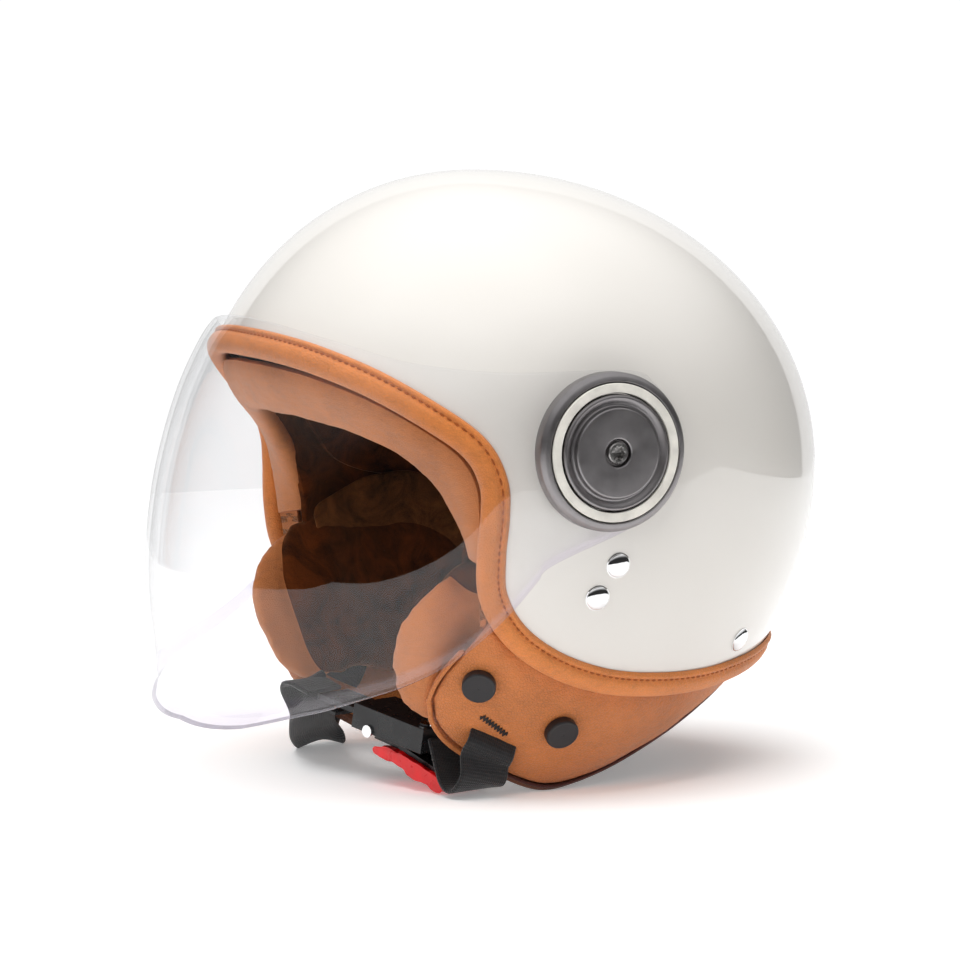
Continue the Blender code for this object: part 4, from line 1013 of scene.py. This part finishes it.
def bartack(side, hand, looks):
    """Zigzag stitches in the leather above the strap's slot, set aslant."""
    turns, length, half, lean = 9, 0.0152, 0.0013, np.radians(35)
    zig = np.linspace(0, turns, 12 * turns + 1)
    along = (zig / turns - 0.5) * length
    across = half * (2 * np.abs(2 * ((zig + 0.25) % 1) - 1) - 1)
    east = along * np.cos(lean) + across * np.sin(lean)
    fall = along * np.sin(lean) - across * np.cos(lean)
    spots = np.stack([70.4 + east / METRES_PER_DEGREE, -0.0935 - fall], 1)
    path = under(spots, ROLL_OUTER - 0.0007 + roll_dimple(spots), side)
    keep(grid(f"bartack_{hand}", tube(path, 0.00042, 6), looks["black_thread"], caps=True))


# ---------------------------------------------------------------- rivets
def rivets(looks):
    """Domed chrome rivets, each in a thin seat ring."""
    dome = [(0.0003 + 0.0019 * np.cos(t), 0.0050 * np.sin(t)) for t in np.linspace(0.02, np.pi / 2, 12)]
    profile = [(-0.0030, 0.0001)] + dome + [(0.0002, 0.0053), (-0.0004, 0.0053), (-0.0030, 0.0018)]
    for side, hand in SIDES:
        for name, (azimuth, z) in RIVETS.items():
            piece = grid(f"{name}_head_{hand}", lathe(profile, on_skin(side * azimuth, z)), looks["chrome"],
                         round_rows=True)
            keep(piece, replaces=[f"{name}_{hand}"])


# ---------------------------------------------------------------- visor and pivots
def visor_reach(angle):
    """Distance from the pivots' axis to the visor's outside in the middle plane, at an angle from forward."""
    line = spline(VISOR_FRONT, 80) - (WIDEST_Y, WIDEST_Z)
    bearing = np.arctan2(line[:, 1], -line[:, 0])
    order = np.argsort(bearing)
    return np.interp(angle, bearing[order], np.linalg.norm(line, axis=1)[order])


def visor_section(share, angle, depth):
    """Distances from the middle plane and from the pivots' axis at a share of the way to the front."""
    lobe_end, sheet_start, full_width = 0.17, 0.62, 0.50
    swing = (1 - share) * np.pi / 2
    reach = LOBE_REACH + ease(share, lobe_end, sheet_start) * (visor_reach(angle) - LOBE_REACH) - depth
    radius = reach * np.cos(swing) ** (2 / VISOR_ROUNDNESS)
    height = np.maximum(WIDEST_Z + radius * np.sin(angle), WIDEST_Z)
    narrow = VISOR_NARROWING * (HALF_WIDTH - half_width(height))
    flare = VISOR_FLARE * ease(-angle, 0.1, 0.8)
    out = VISOR_HALF_WIDTH + ease(share, lobe_end, full_width) * (flare - narrow) - depth
    return out * np.sin(swing) ** (2 / VISOR_ROUNDNESS), radius


def visor_point(share, angle, depth):
    """A point of the visor: share runs 0 at the pivots' axis to 1 in the middle plane."""
    x, radius = visor_section(share, angle, depth)
    return np.stack([x, WIDEST_Y - radius * np.cos(angle), WIDEST_Z + radius * np.sin(angle)], -1)


def visor_edge(points, start):
    """An edge of the visor as (share, angle), from behind the pivot round the lobe to the front."""
    shares = np.linspace(0, 1, 300)

    def share_at(radius, angle):
        return np.interp(radius, visor_section(shares, angle, 0.0)[1], shares)

    lobe = np.radians(np.linspace(180 * np.sign(start), start, 6))[:-1]
    rim = [(share_at(VISOR_LOBE, a), a) for a in lobe]
    for y, z in points:
        radius, angle = np.hypot(y - WIDEST_Y, z - WIDEST_Z), np.arctan2(z - WIDEST_Z, WIDEST_Y - y)
        rim.append((share_at(radius, angle), angle))
    rim[-1] = (1.0, rim[-1][1])
    return rim


def visor_rows(columns, rows):
    """Sections of the visor's left half, outside then inside, from behind the pivot to the middle plane."""
    top, bottom = (spline([(s * np.cos(a), s * np.sin(a)) for s, a in visor_edge(points, start)], columns)
                   for points, start in ((VISOR_TOP_EDGE, 95), (VISOR_BOTTOM_EDGE, -110)))
    across = visor_across(rows)
    lip = 0.0011 * ease(-across, -0.036, -0.024)
    round_edge = np.sqrt(np.clip(1 - hill(across, 0.006) - hill(1 - across, 0.006), 0, 1))
    thinner = VISOR_WALL / 2 * (1 - round_edge)
    made = []
    for i in range(columns):
        forward = i / (columns - 1)
        straight = bottom[i] + across[:, None] * (top[i] - bottom[i])
        radii = [np.hypot(*bottom[i]), np.hypot(*top[i])]
        angles = [np.arctan2(bottom[i][1], bottom[i][0]), np.arctan2(top[i][1], top[i][0])]
        radius = radii[0] + across * (radii[1] - radii[0])
        angle = angles[0] + across * (angles[1] - angles[0])
        curved = np.stack([radius * np.cos(angle), radius * np.sin(angle)], 1)
        flat = straight + ease(forward, 0.35, 0.9) * (curved - straight)
        share, bearing = np.hypot(flat[:, 0], flat[:, 1]), np.arctan2(flat[:, 1], flat[:, 0])
        thicker = ease(forward, 0.45, 0.75) * lip
        inner = VISOR_WALL - thinner + thicker
        made.append(np.concatenate([visor_point(share, bearing, thinner - thicker),
                                    visor_point(share[::-1], bearing[::-1], inner[::-1])]))
    return np.array(made)


def visor_across(rows):
    """Shares of the way from the visor's bottom edge to its top edge, closer together at both."""
    return (1 - np.cos(np.linspace(0, np.pi, rows))) / 2


def visor(looks):
    """The clear visor: two lobes on the pivots joined by a curved sheet with a thicker rolled rim."""
    columns, rows, lip_share = 150, 64, 0.034
    count, across = 2 * rows, visor_across(rows)
    sheet = grid("visor_sheet", both_sides(visor_rows(columns, rows)[1:]),
                 [looks["clear"], looks["clear_edge"], looks["clear_lip"]], caps=True, sharp=75)
    for face in sheet.data.polygons:
        spots = [index % count for index in face.vertices]
        rim = all(spot in (0, count - 1, rows - 1, rows) for spot in spots)
        height = across[min(min(spot, count - 1 - spot) for spot in spots)]
        face.material_index = 1 if rim or len(face.vertices) > 4 else 2 * int(height < lip_share)
    bore = [(0.115, 0.0001), (0.140, 0.0001), (0.140, VISOR_BORE), (0.115, VISOR_BORE)]
    cutters = [grid(f"bore_cutter_{side}", lathe(bore, on_pivot(side)), looks["clear"], round_rows=True)
               for side in (1, -1)]
    for cutter in cutters:
        cut = sheet.modifiers.new("bore", "BOOLEAN")
        cut.object = cutter
        cut.operation = "DIFFERENCE"
    applied(sheet)
    for cutter in cutters:
        bpy.data.objects.remove(cutter)
    keep(sheet, body="visor_body", replaces=["visor"])


def dome_height(radius):
    """The lobe's distance from the middle plane at a radius from the pivots' axis."""
    return VISOR_HALF_WIDTH * (1 - (radius / LOBE_REACH) ** VISOR_ROUNDNESS) ** (1 / VISOR_ROUNDNESS)


def pivots(looks):
    """The two pivot discs: bezel, cream ring, domed cap and screw."""
    low = [dome_height(radius) + 0.0005 for radius in (0.0318, 0.0240)]
    bezel = rounded([(low[0], 0.0318), (0.1318, 0.0318), (0.1338, 0.0304), (0.1346, 0.0283), (0.1334, 0.0279),
                     (0.1334, 0.0236), (low[1], 0.0236)], 0.0005)
    ring = rounded([(0.1337, 0.0276), (0.1351, 0.0276), (0.1351, 0.0239), (0.1337, 0.0239)], 0.0003)
    cap = rounded([(0.1322, 0.0034), (0.1322, 0.0160), (0.1308, 0.0165), (0.1308, 0.0231), (0.1350, 0.0231),
                   (0.1358, 0.0222), (0.1352, 0.0207), (0.1344, 0.0196), (0.1347, 0.0185), (0.1368, 0.0180),
                   (0.1372, 0.0175), (0.1372, 0.0060), (0.1367, 0.0055), (0.1349, 0.0053),
                   (0.1349, 0.0034)], 0.0006)
    for side, hand in SIDES:
        for name, profile, look, slot in (("bezel", bezel, "gunmetal", "gunmetal"),
                                          ("cream_ring", ring, "cream", "cream_plastic"),
                                          ("pivot_cap", cap, "gunmetal", "gunmetal")):
            points = lathe(profile, on_pivot(side), 128)
            piece = grid(f"{name}_turned_{hand}", points, looks[look], round_rows=True, sharp=40)
            keep(piece, replaces=[f"{name}_{hand}"])
        screw_head(side, hand, looks)


def screw_head(side, hand, looks):
    """A flat screw with a six-lobed socket."""
    origin, along, u, v = on_pivot(side)
    angle = np.linspace(0, 2 * np.pi, 72, endpoint=False)
    spokes = np.cos(angle)[:, None] * u + np.sin(angle)[:, None] * v
    # (height, radius, 1 where the ring has the socket's lobes)
    rings = [(0.1350, 0.0043, 0), (0.1368, 0.0043, 0), (0.1373, 0.0039, 0), (0.1374, 0.0028, 0),
             (0.1373, 0.0024, 1), (0.1370, 0.0022, 1), (0.1354, 0.0021, 1), (0.1352, 0.0001, 1)]
    rows = []
    for height, radius, lobed in rings:
        reach = radius * (1 + 0.16 * lobed * np.cos(6 * angle))
        rows.append(origin + height * along + reach[:, None] * spokes)
    piece = grid(f"pivot_screw_{hand}", np.array(rows), looks["steel"], caps=True, sharp=35)
    keep(piece, replaces=[f"torx_screw_{hand}"])


# ---------------------------------------------------------------- straps and buckle
def buckle_place():
    """The buckle's placement: along the strap, across it towards the back, and up."""
    along = unit(BUCKLE_ALONG)
    up = unit(np.array([0, 0, 1.0]) - along[2] * along)
    return BUCKLE, along, np.cross(up, along), up


def at_buckle(along, across, up):
    """A point given in the buckle's own directions."""
    origin, *axes = buckle_place()
    return origin + along * axes[0] + across * axes[1] + up * axes[2]


def strap_route(side):
    """Route of one strap from its rivets down inside the shell and out through the slot."""
    # (azimuth, height, depth)
    stops = [(93.8, -0.0190, 0.0064), (92.6, -0.0300, 0.0064), (90.4, -0.0450, 0.0066),
             (87.5, -0.0600, 0.0092), (84.0, -0.0720, 0.0114), (78.5, -0.0860, 0.0116),
             (73.0, -0.0955, 0.0114), (71.0, -0.0988, 0.0085), (70.4, -0.0998, 0.0040),
             (69.8, -0.1012, -0.0004), (68.6, -0.1050, -0.0022)]
    route, widths, full_lean = [], [], np.radians(30)
    for azimuth, z, depth in stops:
        p = skin(side * azimuth, z)
        route.append(below(p, depth))
        _, u, v = square_to(normal(p))
        lean = full_lean * side * ease(-z, 0.045, 0.090)
        widths.append(np.cos(lean) * u - np.sin(lean) * v)
    return route, widths


def webbing(name, route, widths, count, look):
    """A woven band through given stops, with rounded selvedges."""
    both = spline(np.concatenate([np.asarray(route), 0.01 * np.asarray(widths)], 1), count)
    path, widths = both[:, :3], both[:, 3:]
    tangent = unit(np.gradient(path, axis=0))
    widths = unit(widths - np.sum(widths * tangent, axis=1, keepdims=True) * tangent)
    flat = np.cross(tangent, widths)
    half, up, selvedge = WEB_WIDTH / 2, WEB_THICK / 2, 0.0005
    shares = np.linspace(-half, half, 20)
    band = [(a, up) for a in shares] + [(half + selvedge, 0.0)]
    band += [(a, -up) for a in shares[::-1]] + [(-half - selvedge, 0.0)]
    rows = [path + a * widths + b * flat for a, b in band]
    return grid(name, np.stack(rows, 1), look, caps=True, sharp=70)


def straps(looks):
    """The left strap to the buckle and the right strap under the chin to the ratchet."""
    across = buckle_place()[2]
    end = BUCKLE_LENGTH / 2 + 0.0005
    route, widths = strap_route(1)
    route += [np.array([0.0830, -0.0450, -0.1135]), np.array([0.0750, -0.0470, -0.1185]),
              np.array([0.0665, -0.0485, -0.1160]), at_buckle(end + 0.0024, 0, 0)]
    widths += [widths[-1] * 0.6 + across * 0.4, across, across, across]
    left = webbing("strap_webbing_left", route, widths, 150, looks["webbing"])
    keep(left, replaces=["strap_left"])
    route, widths = strap_route(-1)
    route += [np.array([-0.0830, -0.0450, -0.1130]), np.array([-0.0745, -0.0480, -0.1185]),
              np.array([-0.0580, -0.0590, -0.1120]), np.array([-0.0320, -0.0710, -0.0985]),
              at_buckle(-0.062, 0, 0.0010), at_buckle(-0.0490, 0, 0.0006)]
    widths += [widths[-1] * 0.6 - across * 0.4] + 5 * [-across]
    right = webbing("strap_webbing_right", route, widths, 190, looks["webbing"])
    keep(right, replaces=["strap_right"])


def red_tab(looks):
    """The crumpled red tab of coated tape on the release lever."""
    # (along the buckle, above it)
    cover = [(0.0048, -0.0088), (0.0150, -0.0106), (0.0264, -0.0124), (0.0310, -0.0142), (0.0326, -0.0170),
             (0.0290, -0.0192), (0.0150, -0.0162), (0.0030, -0.0142), (-0.0060, -0.0142),
             (-0.0085, -0.0120), (-0.0060, -0.0098)]
    outline, half = spline(cover, 90, closed=True), 0.0097
    rows = [[at_buckle(a, b, c) for a, c in outline] for b in np.linspace(-half, half, 44)]
    tab = grid("red_pull_tab", np.array(rows), looks["red"], caps=True, sharp=60)
    push_out(tab, lambda at: 0.0015 * grain(at * (1.0, 2.2, 1.0), 130.0, 7.0) + 0.0005 * grain(at, 340.0))
    keep(tab, body="lever_body", replaces=["pull_tab"])


# ---------------------------------------------------------------- frame nodes that keep their shape
def carried(looks):
    """Materials for the frame's own hard parts, and soft edges on those that show."""
    by_look = {
        "black": ["buckle_housing", "release_lever", "ratchet_tongue", "strap_keeper", "pivot_base_left",
                  "pivot_base_right"],
        "chrome": ["lever_pin", "buckle_rivet_a", "buckle_rivet_b"],
        "steel": ["return_spring"] + [f"strap_rivet_{level}_washer_{hand}"
                                      for level in ("upper", "lower") for _, hand in SIDES],
        "brass": ["threaded_insert_left", "threaded_insert_right"],
        "nylon": ["friction_washer_left", "friction_washer_right"],
        "foam": ["eps_liner", "cheek_core_left", "cheek_core_right"],
    }
    for look, names in by_look.items():
        for name in names:
            node = frame["nodes"][name]
            node.data.materials.clear()
            node.data.materials.append(looks[look])
            if look in ("black", "chrome"):
                bevel = node.modifiers.new("soft_edges", "BEVEL")
                bevel.width = 0.0005
                bevel.segments = 3
                bevel.angle_limit = np.radians(35)


# ---------------------------------------------------------------- floor, light and camera
VIEW_AZIMUTH = 65
VIEW_ELEVATION = 6
# name, place, width, height, watts; all are aimed at the helmet's middle and don't show as reflections
SOFTBOXES = [("overhead", (0.10, -0.30, 2.4), 2.6, 2.6, 80), ("front_fill", (1.7, -1.6, 1.1), 1.6, 1.2, 13),
             ("rear_fill", (1.0, 2.0, 1.2), 1.6, 1.2, 9), ("far_fill", (-2.0, -0.6, 1.2), 1.6, 1.4, 5)]
CAMERA_SEES, DIFFUSE_SEES, LEAST = 1.05, 0.09, 0.03
WALL_SHEEN, CEILING_SHEEN = 0.85, 1.0


def view_back():
    """Direction from the helmet to the camera."""
    azimuth, elevation = np.radians(VIEW_AZIMUTH), np.radians(VIEW_ELEVATION)
    flat = np.cos(elevation)
    return np.array([np.sin(azimuth) * flat, -np.cos(azimuth) * flat, np.sin(elevation)])


def stage():
    """A pale floor, softboxes and a white backdrop."""
    mesh = bpy.data.meshes.new("floor")
    near, far = 0.55, 1.05
    mesh.from_pydata([(-far, -far, 0), (near, -far, 0), (near, far, 0), (-far, far, 0)], [], [[0, 1, 2, 3]])
    floor = bpy.data.objects.new("floor", mesh)
    bpy.context.scene.collection.objects.link(floor)
    look = Look("pale_floor", 0.9, Emission_Strength=0.22)
    look.shader.inputs["Emission Color"].default_value = (1, 1, 1, 1)
    cloudy = look.noise(look.place(), 3.0)
    look.colour(look.shades(cloudy, (0.3, (0.94, 0.94, 0.94)), (0.7, (0.96, 0.96, 0.96))))
    mesh.materials.append(look.material)

    middle = Vector((0.0, 0.0, 0.13))
    for name, place, width, height, watts in SOFTBOXES:
        data = bpy.data.lights.new(name, "AREA")
        data.shape = "RECTANGLE"
        data.size, data.size_y = width, height
        data.energy = watts
        lamp = bpy.data.objects.new(name, data)
        lamp.location = place
        lamp.rotation_mode = "QUATERNION"
        lamp.rotation_quaternion = (middle - Vector(place)).to_track_quat("-Z", "Y")
        lamp.visible_glossy = False
        bpy.context.scene.collection.objects.link(lamp)
    backdrop()
    bpy.context.scene.view_settings.view_transform = "Standard"


def backdrop():
    """The world: white to the camera, dim to soft light, and a wall and a ceiling in reflections."""
    world = bpy.data.worlds.new("studio")
    bpy.context.scene.world = world
    world.use_nodes = True
    tree = world.node_tree
    background = tree.nodes["Background"]
    background.inputs["Color"].default_value = (1, 1, 1, 1)
    rays = add_node(tree, "LightPath", {})

    def combine(operation, first, second):
        return add_node(tree, "Math", {0: first, 1: second}, operation=operation).outputs[0]

    direction = add_node(tree, "TexCoord", {}).outputs["Generated"]
    heading = add_node(tree, "VectorMath", {0: direction, 1: tuple(-view_back())}, operation="DOT_PRODUCT")
    wall = combine("MULTIPLY", combine("GREATER_THAN", heading.outputs["Value"], 0.80), WALL_SHEEN)
    height = add_node(tree, "SeparateXYZ", {0: direction}).outputs["Z"]
    ceiling = add_node(tree, "MapRange", {"From Min": 0.15, "From Max": 0.85, "To Max": CEILING_SHEEN,
                                          "Value": height}, interpolation_type="SMOOTHSTEP")
    above = combine("MAXIMUM", wall, ceiling.outputs["Result"])
    strength = combine("MULTIPLY", rays.outputs["Is Camera Ray"], CAMERA_SEES)
    for output, level in (("Is Diffuse Ray", DIFFUSE_SEES), ("Is Glossy Ray", above)):
        strength = combine("MAXIMUM", strength, combine("MULTIPLY", rays.outputs[output], level))
    tree.links.new(combine("MAXIMUM", strength, LEAST), background.inputs["Strength"])


def camera():
    """The camera: 2.2 m away on a long lens, a little to the right of the shell's middle and below it."""
    distance, sensor, frame_width = 2.2, 36.0, 960
    focal, aside, lift = 5250.8, 16, 5
    back = view_back()
    right = unit(np.cross((0, 0, 1), back))
    up = np.cross(back, right)
    data = bpy.data.cameras.new("camera")
    data.sensor_width = sensor
    data.lens = focal * sensor / frame_width
    made = bpy.data.objects.new("camera", data)
    made.location = Vector(CENTRE + distance * (back - (right * aside + up * lift) / focal))
    made.rotation_mode = "QUATERNION"
    made.rotation_quaternion = Vector(-back).to_track_quat("-Z", "Y")
    bpy.context.scene.collection.objects.link(made)
    bpy.context.scene.camera = made


# ---------------------------------------------------------------- all of it
camera()
stage()
LOOKS = all_looks()
for step in (carried, shell, liners, trim, brow, cheeks, neck, rivets, visor, pivots, straps, red_tab):
    step(LOOKS)
